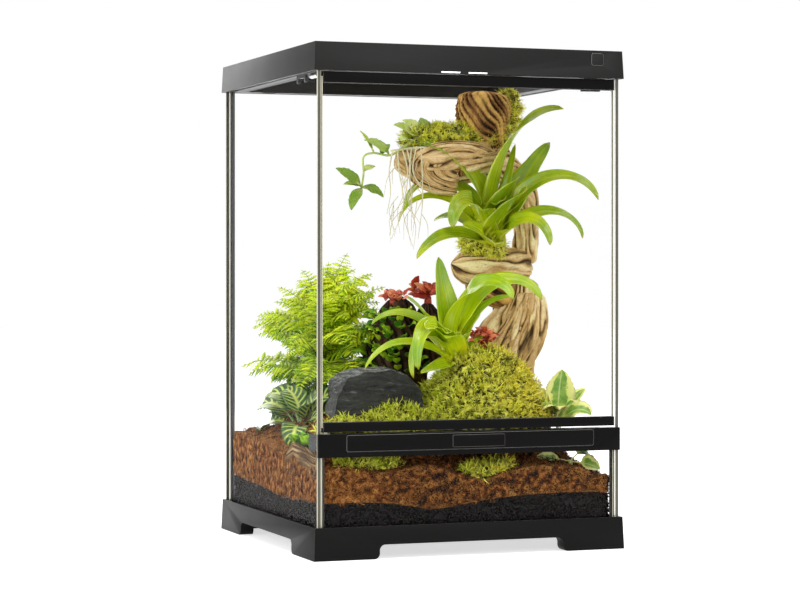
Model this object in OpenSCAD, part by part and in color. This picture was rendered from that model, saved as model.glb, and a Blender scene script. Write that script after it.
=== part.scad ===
// Planted glass terrarium with a hinged front door, a push-button latch,
// a lift-out screen top and a planted landscape inside.
// Millimetres. Origin at the middle of the underside, +X right, +Y to the back, +Z up.

/* [Cabinet] */
// Width and depth of the base across its foot
base_w = 315; // [300:1:330]
// Overall height, from the feet to the top of the hood
overall_h = 481; // [470:1:500]
// Height of the base frame
base_h = 30.7; // [28:0.1:34]
// Wall of the base frame at its foot
base_wall = 3.7; // [3:0.1:5]
// How far each side of the base and of the hood leans in
draft = 1.2; // [0:0.1:1.8]
// Height of the arches between the feet
arch_h = 13.3; // [11:0.1:14.5]
// Length of a foot along the front and the back
foot_front = 64.5; // [50:0.5:80]
// Length of a foot along the sides
foot_side = 71.5; // [50:0.5:80]
// Radius of the curves between a foot and an arch
foot_r = 5.5; // [4:0.1:5.5]
// Thickness of the foot walls
foot_wall = 14; // [10:1:20]
// Thickness of the shelf that carries the floor pane
deck_t = 2.7; // [2:0.1:4]
// Width of that shelf, from the inner face of the wall
deck_w = 25.8; // [18:0.1:34]

/* [Glass] */
// Thickness of the glass
glass_t = 4; // [3:0.5:5]
// Gap between the glass and what holds it
seat_gap = 0.3; // [0.2:0.1:0.5]
// How far the panes reach up into the hood
pane_lap = 3.6; // [2.5:0.1:3.8]
// Leg of the silicone fillets in the corners
seam_leg = 4.5; // [3:0.5:6]

/* [Front bar] */
// Height of the underside of the bar
bar_z = 95.5; // [92:0.5:100]
// Height of the bar
bar_h = 21.9; // [20:0.1:26]
// How far the bar stands in front of the glass
bar_proud = 3; // [2.7:0.1:4]
// Depth of the bar's inner ledge, from the inside of the glass
bar_ledge = 34.2; // [28:0.1:40]
// Wall of the inner ledge
bar_wall = 2; // [1.5:0.1:3]
// Width of the flush front panel
panel_w = 251; // [220:1:270]
// Height of the front panel
panel_h = 15.5; // [12:0.5:17]
// Thickness of the front panel
panel_t = 1.2; // [0.8:0.1:1.4]
// Width of the groove round the front panel
panel_groove = 0.4; // [0.2:0.1:0.8]
// Width of the blank badge plate
badge_w = 53; // [40:1:60]
// Height of the badge plate
badge_h = 11.5; // [8:0.5:13]
// How far the badge plate stands out
badge_t = 0.5; // [0.3:0.1:0.8]
// How far right of the middle the badge sits
badge_x = 6.5; // [0:0.5:10]
// Width of one air slot in the vent strip
vent_slot_w = 3.2; // [2:0.1:3.5]
// Pitch of the air slots
vent_pitch = 7; // [6:0.5:12]

/* [Hood] */
// Height of the hood's side walls
hood_h = 26.6; // [26:0.1:28]
// Wall of the hood at its lower edge
hood_wall = 3.4; // [2.8:0.1:4]
// Plates and webs inside the hood
web_t = 2; // [1.5:0.1:2.2]
// Width of the rim at the sides and back, from the inside of the glass
rim_side = 14; // [12:0.5:18]
// Width of the rim at the front, which holds the latch
rim_front = 30.5; // [30:0.5:34]
// Width of the shelf that carries the screen
screen_shelf = 6; // [4:0.5:8]
// Height of the screen frame
screen_h = 10; // [8:0.5:10.5]
// Width of the screen frame's edge
screen_rail = 9; // [7:0.5:12]
// Number of mesh wires each way
mesh_wires = 17; // [11:1:18]
// Thickness of a mesh wire
mesh_wire = 0.9; // [0.6:0.1:0.9]

/* [Door] */
// Height of the door's rails
rail_h = 10.3; // [9:0.1:12]
// Depth of the rails, front to back
rail_d = 8; // [7:0.1:8]
// Running gap over the front bar
door_gap_low = 1.6; // [1.2:0.1:2.5]
// Running gap under the hood
door_gap_top = 0.8; // [0.6:0.1:1.5]
// Gap between the door glass and each side pane
door_gap_side = 1.2; // [1:0.1:2]
// Radius of the door's pivot pins
pin_r = 1.5; // [1.2:0.1:1.8]
// Running clearance of the pins
pin_fit = 0.05; // [0.02:0.01:0.1]
// Distance from the side pane to the hinge line
hinge_in = 5.5; // [5.5:0.1:7]
// Wall of the hinge bushes
bush_wall = 1.5; // [1.2:0.1:2]
// How deep the glass sits in a rail
glass_bite = 5; // [4:0.1:6]

/* [Latch] */
// Width of the release button
button_w = 12.8; // [11:0.1:13]
// Height of the release button
button_h = 11.8; // [11:0.1:12]
// Gap round the button
button_gap = 0.2; // [0.1:0.05:0.4]
// How far the button travels
button_travel = 2.5; // [2:0.1:2.6]
// Distance of the button's middle from the side pane
button_in = 19.9; // [19.5:0.1:25]
// Radius of the button's stem
stem_r = 2; // [1.5:0.1:2.2]
// Radius of the latch pin
latch_pin_r = 1.5; // [1.2:0.1:1.8]
// Width of the latch lever
latch_w = 18; // [14:0.5:19]
// Width of the door strike
strike_w = 17.6; // [16:0.1:18]
// How far the latch tooth reaches into the strike
tooth_bite = 2.2; // [1.6:0.1:2.4]
// Wire of the button spring
spring_wire = 0.9; // [0.6:0.1:1]
// Coils of the button spring
spring_turns = 5; // [3:1:6]

/* [Planting] */
// Height of the soil above the floor pane, at the glass
soil_h = 58; // [54:1:62]
// Height of the drainage layer above the floor pane
drain_h = 32; // [26:1:36]
// How far the landscape rises behind the door
plateau_h = 66; // [50:1:70]
// Height of the mossy hill on it
hill_h = 42; // [30:1:48]
// Clearance between the planting and the glass
plant_gap = 0.3; // [0.2:0.1:1]
// Thickness of the moss
moss_t = 9; // [6:1:12]
// Thickness of a leaf
leaf_t = 1; // [0.8:0.1:1.5]
// Number of fronds on the fern
fern_fronds = 17; // [12:1:20]

/* [Hidden] */
$fn = 48;

// Small named clearances and margins
fit = 0.02;              // glued and pressed pieces, on the radius
run = 0.05;              // sliding and turning pieces, on the radius
over = 1;                // how far a cutter reaches past a face
tiny = 0.01;

// Cabinet levels and half widths
base_half = base_w / 2;
wall_in = base_half - base_wall;            // inner face of the base wall
glass_half = wall_in - seat_gap;            // outer face of the glass
room_half = glass_half - glass_t;           // inner face of the side panes
pane_half = room_half - seat_gap;           // panes that stand between the side panes
deck_z = arch_h + deck_t;
floor_z = deck_z + glass_t;                 // top of the floor pane
hood_z = overall_h - hood_h;                // lower edge of the hood
pane_top = hood_z + pane_lap;
bar_top = bar_z + bar_h;
bar_front = glass_half + bar_proud;
ledge_top = bar_top - bar_wall + tiny * 10; // inner ledge lies a little under the bar's top
ledge_low = bar_z + 4.4;
ledge_back = room_half - bar_ledge;
bar_bite = 6;                               // how far the lower front pane reaches into the bar
panel_z = bar_z + bar_h / 2 + 1.8;          // middle of the flush panel
vent_y0 = -ledge_back - bar_ledge + 8;      // window of the vent strip, front and back
vent_y1 = -ledge_back - 6;
bush_z = ledge_low + 3;                     // foot of the lower hinge bush

// Hood rings
hood_out = glass_half + seat_gap + hood_wall;
hood_slot_in = room_half - seat_gap - web_t;
rim_in = room_half - rim_side;              // inner face of the rim at the sides and back
rim_front_in = room_half - rim_front;       // the same at the front
bridge_z = pane_top + seat_gap;
top_z = overall_h - web_t;
shelf_top = overall_h - screen_h - 1;
screen_half = rim_in - seat_gap;
screen_front = rim_front_in - seat_gap;
screen_mid = (screen_half - screen_front) / 2;
screen_z = shelf_top + seat_gap;
mesh_z = screen_z + web_t;
step_half = screen_half - screen_rail + 3 - run;      // edge of the mesh, in the frame's step
step_front = screen_rail - screen_front - 3 + run;

// Door
hinge_x = hinge_in - room_half;
hinge_y = 1 - room_half - glass_t / 2;
door_half = room_half - door_gap_side;
door_low = bar_top + door_gap_low;
door_top = hood_z - door_gap_top;
door_glass_low = door_low + rail_h - glass_bite - 1.3;
door_glass_top = door_top - rail_h + glass_bite + 0.7;
low_rail_h = rail_h - 1.3;
rail_left = hinge_x - 3.4;
rail_front = hinge_y - rail_d / 2;
rail_back = hinge_y + rail_d / 2;
bush_r = pin_r + pin_fit + bush_wall;
bush_flange = 1.2;
bush_flange_t = 0.4;

// Latch, seen from the side: y and z of each face
button_x = room_half - button_in;
button_z = (hood_z + 11.9 + overall_h - 2.5) / 2;
button_front = hood_out - 0.5;
wall_back = glass_half + seat_gap;
flange_t = 1.2;
flange_y = -wall_back + seat_gap;
guide_t = 2.5;
guide_y = -rim_front_in - 23;
latch_y = -rim_front_in - 7;
latch_z = hood_z + 5.6;
latch_hub_r = 4;
arm_t = 3;
arm_front = latch_y - arm_t / 2;
nose_r = 1.2;
nose_end = arm_front - seat_gap;
strike_y0 = hinge_y + glass_t / 2 + 0.2;
strike_d = 7.4;
strike_drop = 1.1;
strike_x = button_x - 2.2;
pocket_wall = 1.2;
pocket_d = 4.6;
tooth_t = 2.5;
tooth_y0 = strike_y0 + pocket_wall + pocket_d - tooth_t - seat_gap - 0.1;
tooth_w = latch_w - 5;
tooth_z = door_top - tooth_bite;
window_w = latch_w + 4.5;
ear_t = 2.5;
spring_r = stem_r + 0.5 + spring_wire / 2;
spring_y0 = flange_y + flange_t + 0.1;
spring_y1 = guide_y - 0.1;

// Planting is drawn in a room of its own, and at() fits that drawing into the cabinet:
// half width of the drawn room, then its floor, the bar's lower and upper edge, and the hood
DRAWN = [149.5, 20, 95.5, 117.4, 454.4];
spread = room_half / DRAWN[0];
grow = min(spread, (hood_z - floor_z) / (DRAWN[4] - DRAWN[1]));
function at(p) = [p[0] * spread, p[1] * spread,
    lookup(p[2], [[DRAWN[1], floor_z], [DRAWN[2], bar_z], [DRAWN[3], bar_top], [DRAWN[4], hood_z]])];

// Passages for a lead, and the gates over them
inlet_w = 14;
inlet_d = 8;
inlet_x = rim_in - 25;
inlet_y = (rim_in + web_t + hood_slot_in) / 2;
inlet_pad = 30;          // half width of the thicker plate round a gate
inlet_pad_t = 3.5;
gate_w = inlet_w + 6;
gate_d = inlet_d + 3;
gate_t = 1.2;
gate_sunk = 0.6;         // how far a gate lies under the hood's top
gate_travel = inlet_w + 1;

// Magnet plates in the hood's lower edge
magnet_w = 19;
magnet_h = 1.3;
magnet_d = 2;
magnet_up = 0.6;
magnet_at = [-31.7, -4.2];

// ---------------------------------------------------------------- shared shapes

// A box from its lowest and highest corners
module block(lo, hi) {
    translate(lo) cube(hi - lo);
}

// A block mirrored to both sides of x = 0
module both_sides(lo, hi) {
    block(lo, hi);
    mirror([1, 0, 0]) block(lo, hi);
}

// A square ring between two half widths, with its own inner and outer edge at the front
module ring(out, in, z0, z1, front_in = undef, front_out = undef) {
    low_in = is_undef(front_in) ? in : front_in;
    low_out = is_undef(front_out) ? out : front_out;
    difference() {
        block([-out, -low_out, z0], [out, out, z1]);
        block([-in, -low_in, z0 - over], [in, in, z1 + over]);
    }
}

// A square block whose four sides lean in from the bottom to the top
module leaning_block(half_low, half_top, z0, z1) {
    side = [[-half_low, z0], [half_low, z0], [half_top, z1], [-half_top, z1]];
    intersection() {
        translate([0, half_low, 0]) rotate([90, 0, 0]) linear_extrude(2 * half_low) polygon(side);
        translate([-half_low, 0, 0]) rotate([90, 0, 90]) linear_extrude(2 * half_low) polygon(side);
    }
}

// A rectangle with round corners, from exact squares and circles
module round_rect(w, h, r) {
    square([w - 2 * r, h], center = true);
    square([w, h - 2 * r], center = true);
    for (x = [r - w / 2, w / 2 - r], y = [r - h / 2, h / 2 - r]) translate([x, y]) circle(r);
}

// A round-cornered plate that stands in the XZ plane, from y0 to y1
module plate_xz(x, z, w, h, r, y0, y1) {
    translate([x, y1, z]) rotate([90, 0, 0]) linear_extrude(y1 - y0) round_rect(w, h, r);
}

module rod_x(r, x0, x1, y, z) {
    translate([x0, y, z]) rotate([0, 90, 0]) cylinder(r = r, h = x1 - x0);
}

module rod_y(r, y0, y1, x, z) {
    translate([x, y1, z]) rotate([90, 0, 0]) cylinder(r = r, h = y1 - y0);
}

module rod_z(r, z0, z1, x, y) {
    translate([x, y, z0]) cylinder(r = r, h = z1 - z0);
}

// ---------------------------------------------------------------- base and glass

// Arch between two feet, as a cutter through the whole base along Y
module arch_cut(foot) {
    half = base_half - foot;
    flare = half + foot_r;
    rotate([90, 0, 0]) linear_extrude(2 * base_w, center = true) {
        translate([-half, -over]) square([2 * half, arch_h - foot_r + over]);
        translate([foot_r - half, -over]) square([2 * (half - foot_r), arch_h + over]);
        for (s = [-1, 1]) translate([s * (half - foot_r), arch_h - foot_r]) circle(foot_r);
        difference() {
            translate([-flare, -over]) square([2 * flare, foot_r + over]);
            for (s = [-1, 1]) translate([s * flare, foot_r]) circle(foot_r);
        }
    }
}

module base_frame() color([0.16, 0.16, 0.15]) {
    difference() {
        leaning_block(base_half, base_half - draft, 0, base_h);
        block([-wall_in, -wall_in, deck_z], [wall_in, wall_in, base_h + over]);
        block([deck_w - wall_in, deck_w - wall_in, -over], [wall_in - deck_w, wall_in - deck_w, base_h]);
        block([foot_wall - base_half, foot_wall - base_half, -over],
            [base_half - foot_wall, base_half - foot_wall, arch_h]);
        arch_cut(foot_front);
        rotate([0, 0, 90]) arch_cut(foot_side);
    }
}

module bottom_pane() color([0.8, 0.9, 0.85, 0.4]) {
    block([-pane_half, -pane_half, deck_z], [pane_half, pane_half, floor_z]);
}

module side_pane(s) {
    x = s > 0 ? room_half : -glass_half;
    block([x, -glass_half, deck_z], [x + glass_t, glass_half, pane_top]);
}

module left_pane() color([0.8, 0.9, 0.85, 0.4]) side_pane(-1);

module right_pane() color([0.8, 0.9, 0.85, 0.4]) side_pane(1);

module back_pane() color([0.8, 0.9, 0.85, 0.4]) {
    block([-pane_half, room_half, deck_z], [pane_half, glass_half, pane_top]);
}

module lower_front_pane() color([0.8, 0.9, 0.85, 0.4]) {
    block([-pane_half, -glass_half, deck_z], [pane_half, -room_half, bar_z + bar_bite]);
}

// One upright fillet in an inner corner: sx and sy say which corner
module seam(sx, sy, z1) {
    corner = [[0, 0], [-seam_leg, 0], [0, -seam_leg]];
    translate([sx * room_half, sy * room_half, floor_z])
        mirror([sx > 0 ? 0 : 1, 0, 0]) mirror([0, sy > 0 ? 0 : 1, 0])
        linear_extrude(z1 - floor_z) polygon(corner);
}

module silicone_seams() color([0.04, 0.04, 0.04]) {
    for (sx = [-1, 1]) {
        seam(sx, 1, hood_z);
        seam(sx, -1, bar_z);
    }
}

// ---------------------------------------------------------------- front bar

module front_bar() color([0.13, 0.13, 0.12]) {
    difference() {
        union() {
            block([-glass_half, -bar_front, bar_z], [glass_half, -glass_half - seat_gap, bar_top]);
            block([-pane_half, -glass_half - seat_gap - tiny, bar_z],
                [pane_half, seat_gap - room_half, bar_top]);
            difference() {
                block([-pane_half, -room_half, ledge_low], [pane_half, -ledge_back, ledge_top]);
                block([bar_wall - pane_half, -room_half - over, ledge_low - over],
                    [pane_half - bar_wall, -ledge_back - bar_wall, ledge_top - bar_wall]);
            }
            rod_z(hinge_in - seat_gap, ledge_low, ledge_top, hinge_x, hinge_y);
        }
        // slot for the lower front pane
        block([-pane_half - over, -glass_half - seat_gap, bar_z - over],
            [pane_half + over, seat_gap - room_half, bar_z + bar_bite + seat_gap]);
        // seat of the flush panel
        plate_xz(0, panel_z, panel_w + 2 * panel_groove, panel_h + 2 * panel_groove, 2,
            -bar_front - over, panel_t - bar_front);
        // window of the vent strip
        block([-panel_w / 2, vent_y0, ledge_low], [panel_w / 2, vent_y1, ledge_top + over]);
        // seat of the hinge bush
        rod_z(bush_r + fit, bush_z, bar_top + over, hinge_x, hinge_y);
    }
}

module bar_panel() color([0.12, 0.12, 0.11]) {
    plate_xz(0, panel_z, panel_w, panel_h, 2, -bar_front, panel_t - bar_front);
}

module badge_plate() color([0.1, 0.1, 0.1]) {
    plate_xz(badge_x, panel_z, badge_w, badge_h, 1, -bar_front - badge_t, -bar_front);
}

module vent_strip() color([0.2, 0.2, 0.2]) {
    w = panel_w - 2 * seat_gap;
    y0 = vent_y0 + seat_gap;
    y1 = vent_y1 - seat_gap;
    slots = floor((w - vent_pitch) / vent_pitch);
    difference() {
        block([-w / 2, y0, ledge_top - bar_wall], [w / 2, y1, ledge_top - 0.5]);
        for (i = [0 : slots - 1]) {
            x = (i - (slots - 1) / 2) * vent_pitch;
            block([x - vent_slot_w / 2, y0 + 3, ledge_top - bar_wall - over],
                [x + vent_slot_w / 2, y1 - 3, ledge_top + over]);
        }
    }
}

// A flanged bush on the hinge line; the flange faces the door
module hinge_bush(z0, z1, flange_z) {
    difference() {
        union() {
            rod_z(bush_r, z0, z1, hinge_x, hinge_y);
            rod_z(bush_r + bush_flange, flange_z, flange_z + bush_flange_t, hinge_x, hinge_y);
        }
        rod_z(pin_r + pin_fit, z0 - over, z1 + over, hinge_x, hinge_y);
    }
}

module lower_hinge_bush() color([0.75, 0.72, 0.6]) {
    hinge_bush(bush_z, bar_top + bush_flange_t, bar_top);
}

// ---------------------------------------------------------------- hood

module hood_shell() {
    leaning_block(hood_out, hood_out - draft, hood_z, overall_h);
}

module hood_rings() {
    ring(hood_out + over, wall_back, hood_z, overall_h);
    ring(wall_back + tiny, hood_slot_in, bridge_z, bridge_z + web_t);
    ring(hood_slot_in + web_t, hood_slot_in, hood_z, bridge_z + tiny);
    ring(hood_slot_in + tiny, rim_in, hood_z, hood_z + web_t, rim_front_in);
    ring(rim_in + web_t, rim_in, hood_z, overall_h, rim_front_in, rim_front_in + web_t);
    ring(wall_back + tiny, rim_in, top_z, overall_h, rim_front_in);
    ring(rim_in + tiny, rim_in - screen_shelf, shelf_top - web_t, shelf_top, rim_front_in - screen_shelf,
        rim_front_in + tiny);
}

module latch_ears() {
    for (s = [-1, 1]) {
        x = button_x + s * (window_w / 2 + ear_t / 2);
        difference() {
            block([x - ear_t / 2, latch_y - 6, hood_z + web_t - tiny],
                [x + ear_t / 2, latch_y + 5, latch_z + 6]);
            rod_x(latch_pin_r + fit, x - ear_t, x + ear_t, latch_y, latch_z);
        }
    }
}

// The rib that guides the button's stem
module stem_guide() {
    difference() {
        block([button_x - button_w / 2, guide_y, button_z - 5],
            [button_x + button_w / 2, guide_y + guide_t, top_z + tiny]);
        rod_y(stem_r + run, guide_y - over, guide_y + guide_t + over, button_x, button_z);
    }
}

// Passage for a lead or a pipe, through the top plate and the lower plate
module inlet_cut(s) {
    x = s * inlet_x;
    far = -s * gate_travel;
    block([x - inlet_w / 2, inlet_y - inlet_d / 2, hood_z - over],
        [x + inlet_w / 2, inlet_y + inlet_d / 2, overall_h + over]);
    block([min(x, x + far) - gate_w / 2 - run, inlet_y - gate_d / 2 - run, overall_h - gate_t],
        [max(x, x + far) + gate_w / 2 + run, inlet_y + gate_d / 2 + run, overall_h + over]);
}

module hood_frame() color([0.15, 0.15, 0.14]) {
    difference() {
        union() {
            intersection() {
                hood_shell();
                difference() {
                    union() {
                        hood_rings();
                        // lower plate over the door
                        block([-pane_half, -wall_back - tiny, hood_z],
                            [pane_half, -rim_front_in - tiny, hood_z + web_t]);
                        // thicker top plate round the two sliding gates
                        for (s = [-1, 1])
                            block([s * inlet_x - inlet_pad, rim_in, overall_h - inlet_pad_t],
                                [s * inlet_x + inlet_pad, wall_back + tiny, overall_h]);
                    }
                    // slot where the side panes end
                    both_sides([room_half - seat_gap, -wall_back, hood_z - over],
                        [wall_back, wall_back, bridge_z]);
                    // window of the latch lever
                    block([button_x - window_w / 2, tooth_y0 - 4.5, hood_z - over],
                        [button_x + window_w / 2, latch_y + latch_hub_r + 1.5, hood_z + web_t + tiny]);
                    // hole of the button
                    plate_xz(button_x, button_z, button_w + 2 * button_gap, button_h + 2 * button_gap, 2.5,
                        -hood_out - over, over - wall_back);
                }
            }
            latch_ears();
            stem_guide();
            // boss of the upper hinge bush
            rod_z(hinge_in - seat_gap, hood_z, bridge_z, hinge_x, hinge_y);
        }
        rod_z(bush_r + fit, hood_z - over, bridge_z + over, hinge_x, hinge_y);
        for (s = [-1, 1]) inlet_cut(s);
        // seats of the two magnet plates in the lower edge
        magnet_slots(run);
    }
}

module magnet_slots(gap) {
    z = hood_z + magnet_up;
    for (x = magnet_at)
        block([x - gap, -hood_out - (gap > 0 ? over : 0), z - gap],
            [x + magnet_w + gap, magnet_d - hood_out + gap, z + magnet_h + gap]);
}

module magnet_plates() color([0.8, 0.8, 0.8]) {
    intersection() {
        magnet_slots(0);
        hood_shell();
    }
}

module hanging_clip() color([0.1, 0.1, 0.1]) {
    x0 = -hood_slot_in;
    for (y = [-98, -75]) block([x0, y * spread, hood_z - 6.9], [x0 + 3, y * spread + 4, hood_z]);
    block([x0, -98 * spread, hood_z - 2.5], [x0 + 3, -75 * spread + 4, hood_z]);
}

module hinge_stay() color([0.75, 0.75, 0.75]) {
    rod_y(2.3, -128 * spread, -108 * spread, hinge_x, hood_z - 2.3);
}

module upper_hinge_bush() color([0.75, 0.72, 0.6]) {
    hinge_bush(hood_z - bush_flange_t, bridge_z, hood_z - bush_flange_t);
}

module latch_pin() color([0.7, 0.7, 0.7]) {
    half = window_w / 2 + ear_t;
    rod_x(latch_pin_r, button_x - half, button_x + half, latch_y, latch_z);
}

// Points of a coil along +Y, swept into one tube
function coil_point(a, r, y) = [r * cos(a), y, r * sin(a)];

module coil_tube(r, wire, y0, y1, turns, steps, sides) {
    n = turns * steps;
    points = [for (i = [0 : n], k = [0 : sides - 1])
        let (a = 360 * i / steps, b = 360 * k / sides, rr = r + wire / 2 * cos(b))
        coil_point(a, rr, y0 + wire / 2 + (y1 - y0 - wire) * i / n + wire / 2 * sin(b))];
    walls = [for (i = [0 : n - 1], k = [0 : sides - 1])
        let (a = i * sides + k, b = i * sides + (k + 1) % sides)
        each [[a, b, b + sides], [a, b + sides, a + sides]]];
    first = [[for (k = [sides - 1 : -1 : 0]) k]];
    last = [[for (k = [0 : sides - 1]) n * sides + k]];
    polyhedron(points, concat(walls, first, last));
}

module button_spring() color([0.75, 0.75, 0.75]) {
    translate([button_x, 0, button_z])
        coil_tube(spring_r, spring_wire, spring_y0, spring_y1, spring_turns, 10, 6);
}

// ---------------------------------------------------------------- door

module door_pane() color([0.8, 0.9, 0.85, 0.4]) {
    block([-door_half, hinge_y - glass_t / 2, door_glass_low],
        [door_half, hinge_y + glass_t / 2, door_glass_top]);
}

// A channel that holds one edge of the door glass
module door_rail(z0, z1, slot0, slot1, pin_z0, pin_z1) {
    g = 0.1;
    difference() {
        union() {
            block([rail_left, rail_front, z0], [door_half, rail_back, z1]);
            block([-door_half - 0.7, hinge_y - 1.9, z0], [rail_left + tiny, hinge_y + 1.9, z1]);
        }
        block([-door_half - over, hinge_y - glass_t / 2 - g, slot0],
            [door_half + over, hinge_y + glass_t / 2 + g, slot1]);
        rod_z(pin_r + fit, pin_z0, pin_z1, hinge_x, hinge_y);
    }
}

module door_top_rail() color([0.12, 0.12, 0.11]) {
    z0 = door_top - rail_h;
    difference() {
        door_rail(z0, door_top, z0 - over, door_glass_top + 0.1, door_glass_top + 0.6, door_top + over);
        block([strike_x - strike_w / 2 - 0.2, strike_y0 - 0.1, z0 - over],
            [strike_x + strike_w / 2 + 0.2, rail_back + over, door_top + over]);
    }
}

module door_bottom_rail() color([0.12, 0.12, 0.11]) {
    door_rail(door_low, door_low + low_rail_h, door_glass_low - 0.1, door_low + low_rail_h + over,
        door_low - over, door_glass_low - 0.6);
}

module door_strike() color([0.3, 0.3, 0.3]) {
    x = strike_x;
    z0 = door_top - rail_h - strike_drop;
    pocket_y = strike_y0 + pocket_wall;
    difference() {
        block([x - strike_w / 2, strike_y0, z0], [x + strike_w / 2, strike_y0 + strike_d, door_top]);
        block([x - strike_w / 2 - over, pocket_y, tooth_z - 0.4],
            [x + strike_w / 2 + over, pocket_y + pocket_d, door_top + over]);
    }
}

module upper_pivot_pin() color([0.75, 0.75, 0.75]) {
    rod_z(pin_r, door_glass_top + 0.7, bridge_z - 0.5, hinge_x, hinge_y);
}

module lower_pivot_pin() color([0.75, 0.75, 0.75]) {
    rod_z(pin_r, bush_z + 1, door_glass_low - 0.7, hinge_x, hinge_y);
}

// ---------------------------------------------------------------- latch

module release_button() color([0.14, 0.14, 0.13]) {
    plate_xz(button_x, button_z, button_w, button_h, 2.3, -button_front, flange_y + flange_t);
    plate_xz(button_x, button_z, button_w + 2.4, button_h + 0.8, 2, flange_y, flange_y + flange_t);
    rod_y(stem_r, flange_y, nose_end - 3, button_x, button_z);
    rod_y(nose_r, nose_end - 4, nose_end, button_x, button_z);
}

module latch_lever() color([0.6, 0.6, 0.6]) {
    x0 = button_x - latch_w / 2;
    x1 = button_x + latch_w / 2;
    tooth_x0 = strike_x - tooth_w / 2;
    arm_low = latch_z - 2.5;
    difference() {
        union() {
            rod_x(latch_hub_r, x0, x1, latch_y, latch_z);
            block([button_x - 4, arm_front, latch_z], [button_x + 4, arm_front + arm_t, button_z + 3]);
            block([tooth_x0, tooth_y0, arm_low], [tooth_x0 + tooth_w, latch_y, latch_z + 1.5]);
            block([tooth_x0, tooth_y0, tooth_z], [tooth_x0 + tooth_w, tooth_y0 + tooth_t, latch_z]);
        }
        rod_x(latch_pin_r + run, x0 - over, x1 + over, latch_y, latch_z);
    }
}

// ---------------------------------------------------------------- screen top

module screen_frame() color([0.13, 0.13, 0.13]) {
    in = screen_half - screen_rail;
    difference() {
        block([-screen_half, -screen_front, screen_z], [screen_half, screen_half, overall_h - 0.5]);
        block([-in, screen_rail - screen_front, screen_z - over], [in, in, overall_h]);
        // step that the mesh lies in
        block([-in - 3, screen_rail - screen_front - 3, screen_z - over], [in + 3, in + 3, mesh_z]);
    }
}

// The wire mesh, drawn as two layers of straight wires that cross and lie in the frame's step
function wire_at(i, low, high) = low + mesh_wire / 2 + i / (mesh_wires - 1) * (high - low - mesh_wire);

module mesh_long_wires() color([0.25, 0.25, 0.25]) {
    for (i = [0 : mesh_wires - 1]) {
        x = wire_at(i, -step_half, step_half);
        block([x - mesh_wire / 2, step_front, mesh_z - run - mesh_wire],
            [x + mesh_wire / 2, step_half, mesh_z - run]);
    }
}

module mesh_cross_wires() color([0.25, 0.25, 0.25]) {
    for (i = [0 : mesh_wires - 1]) {
        y = wire_at(i, step_front, step_half);
        block([-step_half, y - mesh_wire / 2, mesh_z - run - 2 * mesh_wire],
            [step_half, y + mesh_wire / 2, mesh_z - run - mesh_wire]);
    }
}

// Two turn-over tabs that hold the screen down, on its side rails
module screen_clips() color([0.3, 0.3, 0.3]) {
    for (s = [-1, 1]) translate([s * (screen_half - screen_rail / 2), screen_mid, overall_h - 0.5])
        linear_extrude(0.5) round_rect(6, 22, 2.5);
}

// A flat gate with three finger ribs
module inlet_gate(s) {
    x = s * inlet_x;
    block([x - gate_w / 2, inlet_y - gate_d / 2, overall_h - gate_t + run],
        [x + gate_w / 2, inlet_y + gate_d / 2, overall_h - gate_sunk]);
    for (i = [-1 : 1])
        block([x + i * 3 - 0.6, inlet_y - gate_d / 2 + 2, overall_h - gate_sunk - 0.1],
            [x + i * 3 + 0.6, inlet_y + gate_d / 2 - 2, overall_h]);
}

module left_inlet_gate() color([0.2, 0.2, 0.2]) inlet_gate(-1);

module right_inlet_gate() color([0.2, 0.2, 0.2]) inlet_gate(1);

// ---------------------------------------------------------------- ground

// A smooth bump of height 1 at distance 0
function bump(d, r) = exp(-d * d / (2 * r * r));

// Low waves of the soil along the front: place, height, spread
soil_waves = [[-125, 8, 22], [-45, 8, 25], [10, -7, 20], [85, 5, 26], [150, -7, 20]];

function waves(x, k = 0) = k >= len(soil_waves) ? 0 :
    soil_waves[k][1] * bump(x - soil_waves[k][0], soil_waves[k][2]) + waves(x, k + 1);

// The broad table that the rocks and plants stand on
function plateau(x, y) = exp(-pow((x + 5) / 115, 4) - pow((y + 8) / 92, 4));

hill_at = [55, -42];
hill_r = 38;

// Top of the soil, in the drawn room
function ground(x, y) = DRAWN[1] + soil_h + waves(x) + plateau_h * plateau(x, y)
    + hill_h * bump(norm([x, y] - hill_at), hill_r) + 20 * bump(norm([x + 150, y - 130]), 75);

// Top of the drainage layer, in the drawn room
function drain(x, y) = DRAWN[1] + drain_h - 8 * bump(x + 32, 28) + 3 * bump(x - 100, 40)
    + 5 * bump(y - 150, 60) - 3 * bump(y + 40, 40);

// A closed sheet of land between two height functions, cut in at the four corners
module land(n, lower, upper) {
    half = DRAWN[0] - (plant_gap + 0.3) / spread;
    cut = seam_leg * 0.8;
    grid = [for (j = [0 : n], i = [0 : n])
        let (c = (i % n == 0 && j % n == 0) ? half - cut : half)
        [(i / n * 2 - 1) * c, (j / n * 2 - 1) * c]];
    m = (n + 1) * (n + 1);
    top = [for (p = grid) at([p[0], p[1], upper(p[0], p[1])])];
    low = [for (p = grid) at([p[0], p[1], lower(p[0], p[1])])];
    cells = [for (j = [0 : n - 1], i = [0 : n - 1])
        let (a = j * (n + 1) + i, b = a + 1, c = b + n + 1, d = a + n + 1)
        each [[a, c, b], [a, d, c], [m + a, m + b, m + c], [m + a, m + c, m + d]]];
    rim = concat([for (i = [0 : n - 1]) i], [for (j = [0 : n - 1]) j * (n + 1) + n],
        [for (i = [n : -1 : 1]) n * (n + 1) + i], [for (j = [n : -1 : 1]) j * (n + 1)]);
    walls = [for (k = [0 : len(rim) - 1])
        let (a = rim[k], b = rim[(k + 1) % len(rim)])
        each [[a, b, m + b], [a, m + b, m + a]]];
    polyhedron(concat(top, low), concat(cells, walls));
}

module drainage_layer() color([0.12, 0.1, 0.09]) {
    land(14, function (x, y) DRAWN[1] + 0.1, function (x, y) drain(x, y));
}

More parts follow.
